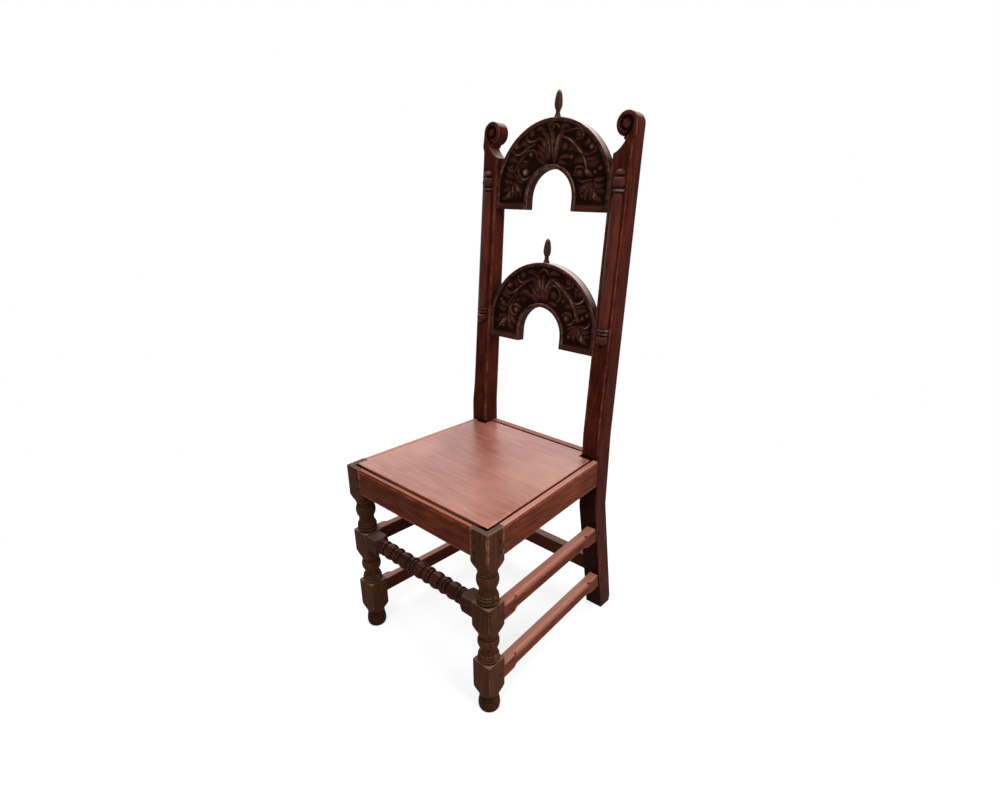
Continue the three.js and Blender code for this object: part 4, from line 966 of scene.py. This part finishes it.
def split_turning_shell():
    """Half of a turned spindle, flat against the front of the right post: half rings of its profile,
    closed by their chords."""
    share = np.unique(np.concatenate([np.linspace(0, 0.13, 90), np.linspace(0.13, 0.82, 60),
                                      np.linspace(0.82, 1, 124)]))
    radius = SPLIT_RADIUS * monotone_curve(share, SPLIT[:, 0], SPLIT[:, 1])[:, None]
    angle = np.linspace(np.pi, 2 * np.pi, 33)
    chord = np.linspace(1, -1, 8)[1:-1]
    x = np.concatenate([radius * np.cos(angle), radius * chord], axis=1)
    y = np.concatenate([radius * np.sin(angle), 0 * radius * chord], axis=1)
    rings = in_back_plane(POST_MIDDLE + x, y - 0.1, SPLIT_RISE + SPLIT_LENGTH * share[:, None])
    bead, groove = proud_and_sunk(radius[:, 0], 13, 0.5, 0.5)
    knobs = 1 - smooth_step(share, 0.11, 0.15)[:, None] + smooth_step(share, 0.72, 0.84)[:, None]
    lean = np.gradient(radius[:, 0], SPLIT_LENGTH * share)[:, None] * knobs
    # Painted shade: dark grooves, darker knobs, shade under their bulges and a dark line along both sides
    # where the half spindle meets the post
    hollow = np.maximum(np.maximum(groove, 0.9 * smooth_step(lean, 0.0, 0.6)), 0.25 * knobs)
    hollow = np.maximum(hollow, 0.95 * np.exp(y / 2.2))
    # Painted highlights on the upper faces of the knobs, with the worn beads, kept out of the painted shade
    wear = np.maximum(0.6 * bead, 0.75 * smooth_step(-lean, 0.1, 0.9)) * (1 - hollow)
    return rings, wear, hollow


def linear(colour):
    """An sRGB hex colour as linear red, green, blue and full alpha."""
    shares = [int(colour[i:i + 2], 16) / 255 for i in (1, 3, 5)]
    return tuple(c / 12.92 if c <= 0.04045 else ((c + 0.055) / 1.055) ** 2.4 for c in shares) + (1.0,)


def add_node(tree, kind, values=None, links=None, **settings):
    """A node with its settings, the values of its sockets and the links into them."""
    node = tree.nodes.new(kind)
    for key, value in settings.items():
        setattr(node, key, value)
    for socket, value in (values or {}).items():
        node.inputs[socket].default_value = value
    for socket, source in (links or {}).items():
        tree.links.new(source, node.inputs[socket])
    return node


Finish = namedtuple("Finish", "grain dark middle light worn grime faded roughness shine side_shine "
                              "coat clouds wear fade")

# Each finish: direction of the grain; dark, middle and light wood, worn edges and painted highlights, painted
# shade and dirt, and a painted sheen on top faces; roughness; shine of top and of side faces; and shares of a
# clear wax coat, clouds, worn edges with painted highlights, and the painted sheen
FINISHES = {
    # Planed mahogany boards under worn wax: pale, warm and satin, with a soft mirror of the posts
    "mahogany_board_waxed": Finish(
        "x", "#7c4437", "#9f5b4a", "#b87a68", "#cf9a87", "#1c0805", "#c2836f",
        0.3, 0.5, 0.01, 0.8, 0.75, 0.3, 0.0),
    # Planed rails, rubbed by knees: dull red brown with a worn light upper edge, a painted sheen on top and
    # painted shade in the groove
    "mahogany_front_rail_waxed": Finish(
        "x", "#34150c", "#5a2a1a", "#763727", "#a9543a", "#150503", "#b06a58",
        0.42, 0.3, 0.01, 0.0, 0.3, 0.8, 0.5),
    # Planed side timbers: dull, with a pale painted sheen on their upper faces
    "mahogany_side_rail_waxed": Finish(
        "y", "#34160e", "#5f2c1e", "#783e2c", "#9a5741", "#150503", "#b87c69",
        0.42, 0.4, 0.01, 0.0, 0.3, 0.7, 0.8),
    # Turned legs under old dark wax: hardly any shine, lighter brown on their worn corners and on their
    # beads, partly as a painted highlight, with a painted sheen on top faces and painted shade in the coves
    "mahogany_leg_dark_waxed": Finish(
        "z", "#2e1a12", "#432719", "#593525", "#9a6c56", "#0c0503", "#8f6a5a",
        0.45, 0.25, 0.01, 0.0, 0.3, 0.8, 0.6),
    # The turned stretcher, seldom rubbed: the darkest wood, with painted shade that makes its grooves black
    "mahogany_stretcher_dark_waxed": Finish(
        "x", "#1d0e0a", "#3d2018", "#512e24", "#7c5142", "#0c0503", "#7a5c50",
        0.45, 0.25, 0.01, 0.0, 0.2, 0.6, 0.45),
    # The planed bar at the heels: dull, with a greyish painted sheen on top
    "mahogany_heel_dark_waxed": Finish(
        "x", "#2f140d", "#54291c", "#6c3a2b", "#8a5848", "#0c0503", "#8f6b5f",
        0.45, 0.25, 0.01, 0.0, 0.2, 0.5, 0.5),
    # Planed posts under dark varnish: deep red with thin light worn arrises, a painted sheen on faces that
    # look up, and painted shade below the seat
    "mahogany_post_varnished": Finish(
        "z", "#1d0a07", "#401812", "#5b251b", "#8c5542", "#100504", "#9a8078",
        0.38, 0.3, 0.01, 0.0, 0.3, 0.48, 0.6),
    # Turned finials, handled and waxed: a silky light along their sides
    "mahogany_spindle_waxed": Finish(
        "z", "#1b0b07", "#3c1a10", "#522a1c", "#93705f", "#0c0503", "#806459",
        0.42, 0.3, 0.13, 0.0, 0.2, 0.9, 0.5),
    # Split turnings, varnished with the posts: red shafts, and beads worn to a greyish brown with painted
    # greyish highlights on their upper faces and painted shade beneath
    "mahogany_half_spindle_waxed": Finish(
        "z", "#220c06", "#481a10", "#5e2517", "#a08078", "#0c0503", "#9a8078",
        0.4, 0.3, 0.13, 0.0, 0.3, 0.9, 0.6),
    # Carved boards: painted shade and dirt make the ground nearly black; brown where hands and cloths reached
    # the leaves, and a pale painted sheen on faces that look up
    "mahogany_carved_waxed": Finish(
        "x", "#1b0d09", "#3f221a", "#522d24", "#9c7a6a", "#0d0402", "#d8c6c2",
        0.46, 0.12, 0.01, 0.0, 0.2, 0.75, 0.9),
    # Riven oak pegs, cut off flush: small dark dull ends
    "oak_peg_end_grain": Finish(
        "z", "#1f0d07", "#371a10", "#482415", "#5e3a2c", "#0c0503", "#5e3a2c",
        0.55, 0.1, 0.01, 0.0, 0.0, 0.2, 0.0),
}

# Each pattern: repeats in a metre along and across the grain, detail, roughness and distortion of its
# noise. Streaks are 62 by 5 mm, blotches 71 mm, clouds 167 mm and scuffs 18 mm. Real pores are 0.2 mm
# wide, too fine for the picture, so they are drawn 12 by 1 mm.
PATTERNS = {
    "streaks": (16.0, 192.0, 4.0, 0.5, 0.3),
    "pores": (85.0, 1020.0, 2.0, 0.5, 0.0),
    "blotches": (14.0, 14.0, 3.0, 0.55, 0.0),
    "clouds": (6.0, 6.0, 2.0, 0.5, 0.0),
    "scuffs": (55.0, 55.0, 4.0, 0.7, 0.0),
}

# Sockets of a Map Range node: it turns one span of values into another
RANGE = ("From Min", "From Max", "To Min", "To Max")

# How strongly a face that leans to the front or the back is kept from the painted sheen
LEAN_LOSS = 1.3


def wood(context, name):
    """Waxed wood after its finish: streaks and pores along the grain, soft blotches and clouds, then worn
    arrises with painted highlights, a painted sheen on faces that look up, and painted shade and dirt in
    hollows. A face that looks up and lies out of the painted shade also shines more than the others."""
    if name in bpy.data.materials:
        return bpy.data.materials[name]
    finish, look = FINISHES[name], context.scene.chair_finish
    material = bpy.data.materials.new(name)
    material.use_nodes = True
    tree = material.node_tree
    tree.nodes.clear()
    place = add_node(tree, "ShaderNodeTexCoord").outputs["Object"]
    noise = {}
    for pattern, (along, across, detail, roughness, distortion) in PATTERNS.items():
        scale = [along if axis == finish.grain else across for axis in "xyz"]
        stretched = add_node(tree, "ShaderNodeMapping", {"Scale": scale}, {"Vector": place})
        noise[pattern] = add_node(
            tree, "ShaderNodeTexNoise",
            {"Scale": 1.0, "Detail": detail, "Roughness": roughness, "Distortion": distortion},
            {"Vector": stretched.outputs[0]}).outputs["Fac"]
    wear, hollow = (add_node(tree, "ShaderNodeAttribute", attribute_name=attribute).outputs["Fac"]
                    for attribute in ("wear", "hollow"))
    normal = add_node(tree, "ShaderNodeSeparateXYZ",
                      links={"Vector": add_node(tree, "ShaderNodeNewGeometry").outputs["Normal"]})
    # How level a face is: the normal's rise, less its lean to the front or the back
    forward = add_node(tree, "ShaderNodeMath", links={0: normal.outputs["Y"]}, operation="ABSOLUTE")
    level = add_node(tree, "ShaderNodeMath", {1: -LEAN_LOSS}, {0: forward.outputs[0], 2: normal.outputs["Z"]},
                     operation="MULTIPLY_ADD")
    mask = {}
    for key, source, limits in (
        ("pores", noise["pores"], (0.3, 0.55, 0.05, 0.0)),
        ("blotches", noise["blotches"], (0.3, 0.7, 0.0, 0.45)),
        ("clouds", noise["clouds"], (0.42, 0.68, 0.0, finish.clouds)),
        ("scuffs", noise["scuffs"], (0.35, 0.65, 0.2, 1.25)),
        ("roughness", noise["scuffs"], (0.3, 0.7, finish.roughness - 0.02, finish.roughness + 0.04)),
        ("looks_up", level.outputs[0], (0.4, 0.85, 0.0, 1.0)),
        ("clear_of_shade_and_grime", hollow, (0.0, 1.0, 1.0, 0.0)),
        ("grime", hollow, (0.0, 1.0, 0.0, look.grime)),
    ):
        mask[key] = add_node(tree, "ShaderNodeMapRange", dict(zip(RANGE, limits)),
                             {"Value": source}).outputs[0]
    # Worn arrises and beads together with the painted highlights, broken up by scuffs
    rubbed = add_node(tree, "ShaderNodeMath", links={0: wear, 1: mask["scuffs"]}, operation="MULTIPLY")
    worn = add_node(tree, "ShaderNodeMapRange", dict(zip(RANGE, (0.2, 1.0, 0.0, finish.wear * look.wear))),
                    {"Value": rubbed.outputs[0]})
    # Painted sheen: faces that look up and lie out of the painted shade are mixed towards a pale tint, and
    # shine more
    upward = add_node(tree, "ShaderNodeMath", links={0: mask["looks_up"], 1: mask["clear_of_shade_and_grime"]},
                      operation="MULTIPLY")
    fade = add_node(tree, "ShaderNodeMath", {1: finish.fade}, {0: upward.outputs[0]}, operation="MULTIPLY")
    polish = add_node(tree, "ShaderNodeMapRange", {"To Min": finish.side_shine, "To Max": finish.shine},
                      {"Value": upward.outputs[0]})
    figure = add_node(tree, "ShaderNodeValToRGB", links={"Fac": noise["streaks"]})
    stops = figure.color_ramp.elements
    stops[0].position, stops[1].position = 0.22, 0.76
    stops[0].color, stops[1].color = linear(finish.dark), linear(finish.light)
    stops.new(0.5).color = linear(finish.middle)
    colour = figure.outputs["Color"]
    # Tints in turn: pores, blotches, clouds, worn places with painted highlights, painted sheen, and painted
    # shade with dirt
    for share, tint in (
        (mask["pores"], finish.dark), (mask["blotches"], finish.dark), (mask["clouds"], finish.light),
        (worn.outputs[0], finish.worn), (fade.outputs[0], finish.faded), (mask["grime"], finish.grime),
    ):
        colour = add_node(tree, "ShaderNodeMix", {"B": linear(tint)}, {"Factor": share, "A": colour},
                          data_type="RGBA").outputs["Result"]
    bump = add_node(tree, "ShaderNodeBump", {"Strength": 0.2, "Distance": 0.0005},
                    {"Height": noise["blotches"]})
    shader = add_node(tree, "ShaderNodeBsdfPrincipled",
                      {"IOR": 1.5, "Coat Weight": finish.coat, "Coat Roughness": 0.35},
                      {"Base Color": colour, "Roughness": mask["roughness"], "Normal": bump.outputs[0],
                       "Specular IOR Level": polish.outputs[0]})
    add_node(tree, "ShaderNodeOutputMaterial", links={"Surface": shader.outputs[0]})
    return material


class ChairShape(bpy.types.PropertyGroup):
    """Sizes that the maker may change without moving a joint."""

    arris: bpy.props.FloatProperty(
        name="Worn arris", description="Rounding of the worn edges of every timber",
        default=0.0016, min=0.0002, max=0.004, unit="LENGTH")
    carving_depth: bpy.props.FloatProperty(
        name="Carving depth", description="How far the ground of the arches lies below their border",
        default=0.0054, min=0.001, max=0.007, unit="LENGTH")


class ChairFinish(bpy.types.PropertyGroup):
    """How the wood has aged, and how strong its painted highlights and shade are."""

    # How much lighter worn arrises, high leaves and the painted highlights are
    wear: bpy.props.FloatProperty(
        name="Wear and highlights", description="How much lighter the rubbed edges and high leaves are",
        default=0.9, min=0.0, max=1.0, subtype="FACTOR")
    # How dark the painted shade and dirt make hollows, undersides and faces in shade
    grime: bpy.props.FloatProperty(
        name="Shade and grime", description="How dark the grooves and the carved ground are",
        default=0.85, min=0.0, max=1.0, subtype="FACTOR")
    floor_colour: bpy.props.FloatVectorProperty(
        name="Floor", description="Colour of the studio floor", subtype="COLOR", size=4,
        default=linear("#b4b4b4"), min=0.0, max=1.0)


def arris_of(context):
    """The worn edge's rounding in millimetres."""
    return context.scene.chair_shape.arris / MILLIMETRE


def pair(name, right, left, finish, slot, node):
    """A piece on the right, and one on the left from the shells of its mirror image."""
    return [(f"{name}_right", right, finish, slot, f"{node}_right"),
            (f"{name}_left", mirrored(left), finish, slot, f"{node}_left")]


def place_pieces(context, pieces):
    """Places pieces that are listed as name, shells, finish, slot and the solid that each replaces."""
    for piece in pieces:
        place_piece(context, *piece)
    return {"FINISHED"}


class CHAIR_OT_seat_board(bpy.types.Operator):
    """Lays the waxed board into the seat frame"""

    bl_idname = "chair.seat_board"
    bl_label = "Seat board"

    def execute(self, context):
        shell = seat_board_shell(BOARD_WORN * arris_of(context))
        return place_pieces(context, [("board", [shell], "mahogany_board_waxed", "seat", "seat_board")])


class CHAIR_OT_seat_rails(bpy.types.Operator):
    """Builds the four rails of the seat frame"""

    bl_idname = "chair.seat_rails"
    bl_label = "Seat rails"

    def execute(self, context):
        arris = arris_of(context)
        front, rear = cross_rail_shells(arris)
        right, left = (side_rail_shell(arris, groove) for groove in (RIGHT_GROOVE, LEFT_GROOVE))
        return place_pieces(context, [
            ("front_rail", [front], "mahogany_front_rail_waxed", "rail", "front_seat_rail"),
            ("rear_rail", [rear], "mahogany_front_rail_waxed", "rail", "rear_seat_rail"),
            *pair("side_rail", [right], [left], "mahogany_side_rail_waxed", "rail", "side_seat_rail"),
        ])


class CHAIR_OT_front_legs(bpy.types.Operator):
    """Turns the two front legs from square blanks"""

    bl_idname = "chair.front_legs"
    bl_label = "Front legs"

    def execute(self, context):
        arris = arris_of(context)
        right, left = (front_leg_shells(arris, groove) for groove in (RIGHT_GROOVE, LEFT_GROOVE))
        return place_pieces(context, pair("leg", right, left, "mahogany_leg_dark_waxed", "leg", "front_leg"))


class CHAIR_OT_rear_posts(bpy.types.Operator):
    """Builds the two raked rear posts with their scrolls"""

    bl_idname = "chair.rear_posts"
    bl_label = "Rear posts"

    def execute(self, context):
        shells = rear_post_shells(arris_of(context))
        return place_pieces(context, pair("post", shells, shells, "mahogany_post_varnished", "post",
                                          "rear_post"))


class CHAIR_OT_stretchers(bpy.types.Operator):
    """Builds the turned front stretcher and the plain ones"""

    bl_idname = "chair.stretchers"
    bl_label = "Stretchers"

    def execute(self, context):
        arris = arris_of(context)
        pieces = [
            ("bobbin_stretcher", [front_stretcher_shell(arris)], "mahogany_stretcher_dark_waxed", "leg",
             "front_stretcher"),
            ("heel_stretcher", [rear_stretcher_shell(arris)], "mahogany_heel_dark_waxed", "leg",
             "rear_stretcher"),
        ]
        for level, top in SIDE_STRETCHER_TOPS.items():
            shells = [side_stretcher_shell(top, arris)]
            pieces += pair(f"{level}_stretcher", shells, shells, "mahogany_side_rail_waxed", "rail",
                           f"{level}_side_stretcher")
        return place_pieces(context, pieces)


class CHAIR_OT_arches(bpy.types.Operator):
    """Carves the two arched rails of the back"""

    bl_idname = "chair.arches"
    bl_label = "Carved arches"

    def execute(self, context):
        depth = context.scene.chair_shape.carving_depth / MILLIMETRE
        carvings = {"lower": LOWER_CARVING, "upper": UPPER_CARVING}
        return place_pieces(context, [
            (f"{level}_arch", [arch_shell(arch["leg"], arch["rise"], carvings[level], depth,
                                          arris_of(context))],
             "mahogany_carved_waxed", "carved", f"{level}_arched_rail")
            for level, arch in ARCHES.items()
        ])


class CHAIR_OT_finials(bpy.types.Operator):
    """Turns the finials and the split turnings of the back"""

    bl_idname = "chair.finials"
    bl_label = "Finials and split turnings"

    def execute(self, context):
        buds = [(f"{level}_bud", [finial_shell(arch)], "mahogany_spindle_waxed", "post", f"{level}_finial")
                for level, arch in ARCHES.items()]
        shells = [split_turning_shell()]
        return place_pieces(context, buds + pair("half_spindle", shells, shells,
                                                 "mahogany_half_spindle_waxed", "post", "split_turning"))


class CHAIR_OT_pegs(bpy.types.Operator):
    """Gives the pegs their end grain"""

    bl_idname = "chair.pegs"
    bl_label = "Pegs"

    def execute(self, context):
        material = wood(context, "oak_peg_end_grain")
        for name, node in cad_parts.items():
            if name.startswith("peg_"):
                for slot in node.material_slots:
                    slot.material = material
        return {"FINISHED"}


# The camera, found from the photograph: place and angles in the chair's frame, and the lens
CAMERA_PLACE = (0.8445, -0.9043, 1.0504)
CAMERA_ANGLES = (42.73, -22.67, -0.46)
CAMERA_LENS, CAMERA_SHIFT = 21.23, (0.0064, 0.024)

# Light of the sky on the wood, and what the paper's own brightness lacks to white
SKY_LEVEL, PAPER_FILL = 0.42, 0.68

# The floor: its half width, how far it lies below the feet, and where its shadow has faded to white
FLOOR_REACH, FLOOR_DROP, SHADOW_FADE = 12.0, 0.0005, (0.5, 1.6)

# Each lamp: name, place, the point it faces, size, power, and whether it shows in varnish and wax
LAMPS = (
    ("key", (0.9, -2.0, 3.0), (0, 0, 0.6), 1.2, 44, False),
    ("top_back", (-0.3, 1.2, 3.2), (0, 0, 0.5), 1.8, 41, True),
    ("right", (2.6, -0.1, 2.1), (0, 0, 0.6), 1.6, 60, False),
)


class CHAIR_OT_stage(bpy.types.Operator):
    """Sets the floor, the lights and the camera"""

    bl_idname = "chair.stage"
    bl_label = "Studio"

    def execute(self, context):
        context.scene.view_settings.view_transform = "Standard"
        self.lay_floor(context)
        self.light_sky(context)
        for lamp in LAMPS:
            self.add_lamp(context, *lamp)
        self.aim_camera(context)
        return {"FINISHED"}

    def lay_floor(self, context):
        """Matt white paper that shows the shadow near the chair and fades to pure white."""
        corners = [(-1, -1), (1, -1), (1, 1), (-1, 1)]
        mesh = bpy.data.meshes.new("floor")
        mesh.from_pydata([(FLOOR_REACH * x, FLOOR_REACH * y, -FLOOR_DROP) for x, y in corners], [],
                         [(0, 1, 2, 3)])
        floor = bpy.data.objects.new("floor", mesh)
        context.collection.objects.link(floor)
        paper = bpy.data.materials.new("matt_studio_paper")
        paper.use_nodes = True
        tree = paper.node_tree
        tree.nodes.clear()
        place = add_node(tree, "ShaderNodeTexCoord").outputs["Object"]
        distance = add_node(tree, "ShaderNodeVectorMath", links={0: place}, operation="LENGTH")
        far = add_node(tree, "ShaderNodeMapRange", dict(zip(RANGE, SHADOW_FADE)),
                       {"Value": distance.outputs["Value"]}, interpolation_type="SMOOTHSTEP")
        matt = add_node(tree, "ShaderNodeBsdfDiffuse", {"Color": context.scene.chair_finish.floor_colour})
        fill = add_node(tree, "ShaderNodeEmission", {"Strength": PAPER_FILL})
        filled = add_node(tree, "ShaderNodeAddShader", links={0: matt.outputs[0], 1: fill.outputs[0]})
        white = add_node(tree, "ShaderNodeEmission", {"Strength": 1.0})
        seen = add_node(tree, "ShaderNodeMixShader",
                        links={0: far.outputs[0], 1: filled.outputs[0], 2: white.outputs[0]})
        surface = add_node(tree, "ShaderNodeMixShader",
                           links={0: self.seen_rays(tree), 1: matt.outputs[0], 2: seen.outputs[0]})
        add_node(tree, "ShaderNodeOutputMaterial", links={"Surface": surface.outputs[0]})
        floor.data.materials.append(paper)

    def light_sky(self, context):
        """A white sky that is dimmer as a light than it looks."""
        world = bpy.data.worlds.new("studio")
        world.use_nodes = True
        tree = world.node_tree
        tree.nodes.clear()
        strength = add_node(tree, "ShaderNodeMapRange", {"To Min": SKY_LEVEL, "To Max": 1.0},
                            {"Value": self.seen_rays(tree)})
        sky = add_node(tree, "ShaderNodeBackground", {"Color": (1, 1, 1, 1)},
                       {"Strength": strength.outputs[0]})
        add_node(tree, "ShaderNodeOutputWorld", links={"Surface": sky.outputs[0]})
        context.scene.world = world

    def seen_rays(self, tree):
        """1 for the rays that show the background: of the camera, of shine and through glass."""
        rays = add_node(tree, "ShaderNodeLightPath")
        seen = rays.outputs["Is Camera Ray"]
        for kind in ("Is Glossy Ray", "Is Transmission Ray"):
            seen = add_node(tree, "ShaderNodeMath", links={0: seen, 1: rays.outputs[kind]},
                            operation="MAXIMUM").outputs[0]
        return seen

    def add_lamp(self, context, name, place, target, size, power, glossy):
        """A square soft lamp that faces a point of the chair."""
        data = bpy.data.lights.new(name, "AREA")
        data.size = size
        data.energy = power
        lamp = bpy.data.objects.new(name, data)
        context.collection.objects.link(lamp)
        lamp.visible_glossy = glossy
        aim = Vector(target) - Vector(place)
        lamp.matrix_world = Matrix.Translation(place) @ aim.to_track_quat("-Z", "Y").to_matrix().to_4x4()

    def aim_camera(self, context):
        """The camera at its place, turned to the left by its yaw, up by its pitch, then rolled."""
        data = bpy.data.cameras.new("camera")
        data.sensor_width = 36
        data.lens = CAMERA_LENS
        data.shift_x, data.shift_y = CAMERA_SHIFT
        camera = bpy.data.objects.new("camera", data)
        context.collection.objects.link(camera)
        yaw, pitch, roll = (math.radians(angle) for angle in CAMERA_ANGLES)
        forward = Vector((-math.sin(yaw) * math.cos(pitch), math.cos(yaw) * math.cos(pitch),
                          math.sin(pitch)))
        right = forward.cross(Vector((0, 0, 1))).normalized()
        above = right.cross(forward)
        axes = Matrix((right * math.cos(roll) + above * math.sin(roll),
                       above * math.cos(roll) - right * math.sin(roll), -forward)).transposed()
        camera.matrix_world = Matrix.Translation(CAMERA_PLACE) @ axes.to_4x4()
        context.scene.camera = camera


OPERATORS = (
    CHAIR_OT_stage, CHAIR_OT_seat_board, CHAIR_OT_seat_rails, CHAIR_OT_front_legs, CHAIR_OT_rear_posts,
    CHAIR_OT_stretchers, CHAIR_OT_arches, CHAIR_OT_finials, CHAIR_OT_pegs,
)


class CHAIR_PT_panel(bpy.types.Panel):
    """Lists the chair's sizes, finish and pieces"""

    bl_idname = "CHAIR_PT_panel"
    bl_label = "Carved chair"
    bl_space_type = "VIEW_3D"
    bl_region_type = "UI"
    bl_category = "Chair"

    def draw(self, context):
        layout = self.layout
        for group in (context.scene.chair_shape, context.scene.chair_finish):
            for key in group.__annotations__:
                layout.prop(group, key)
        for operator in OPERATORS:
            layout.operator(operator.bl_idname)


CLASSES = (ChairShape, ChairFinish) + OPERATORS + (CHAIR_PT_panel,)


def register():
    for cls in CLASSES:
        bpy.utils.register_class(cls)
    bpy.types.Scene.chair_shape = bpy.props.PointerProperty(type=ChairShape)
    bpy.types.Scene.chair_finish = bpy.props.PointerProperty(type=ChairFinish)


def unregister():
    del bpy.types.Scene.chair_finish
    del bpy.types.Scene.chair_shape
    for cls in reversed(CLASSES):
        bpy.utils.unregister_class(cls)


def main():
    """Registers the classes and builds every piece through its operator."""
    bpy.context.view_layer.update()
    register()
    bpy.ops.chair.stage()
    bpy.ops.chair.seat_board()
    bpy.ops.chair.seat_rails()
    bpy.ops.chair.front_legs()
    bpy.ops.chair.rear_posts()
    bpy.ops.chair.stretchers()
    bpy.ops.chair.arches()
    bpy.ops.chair.finials()
    bpy.ops.chair.pegs()


if __name__ == "__main__":
    main()
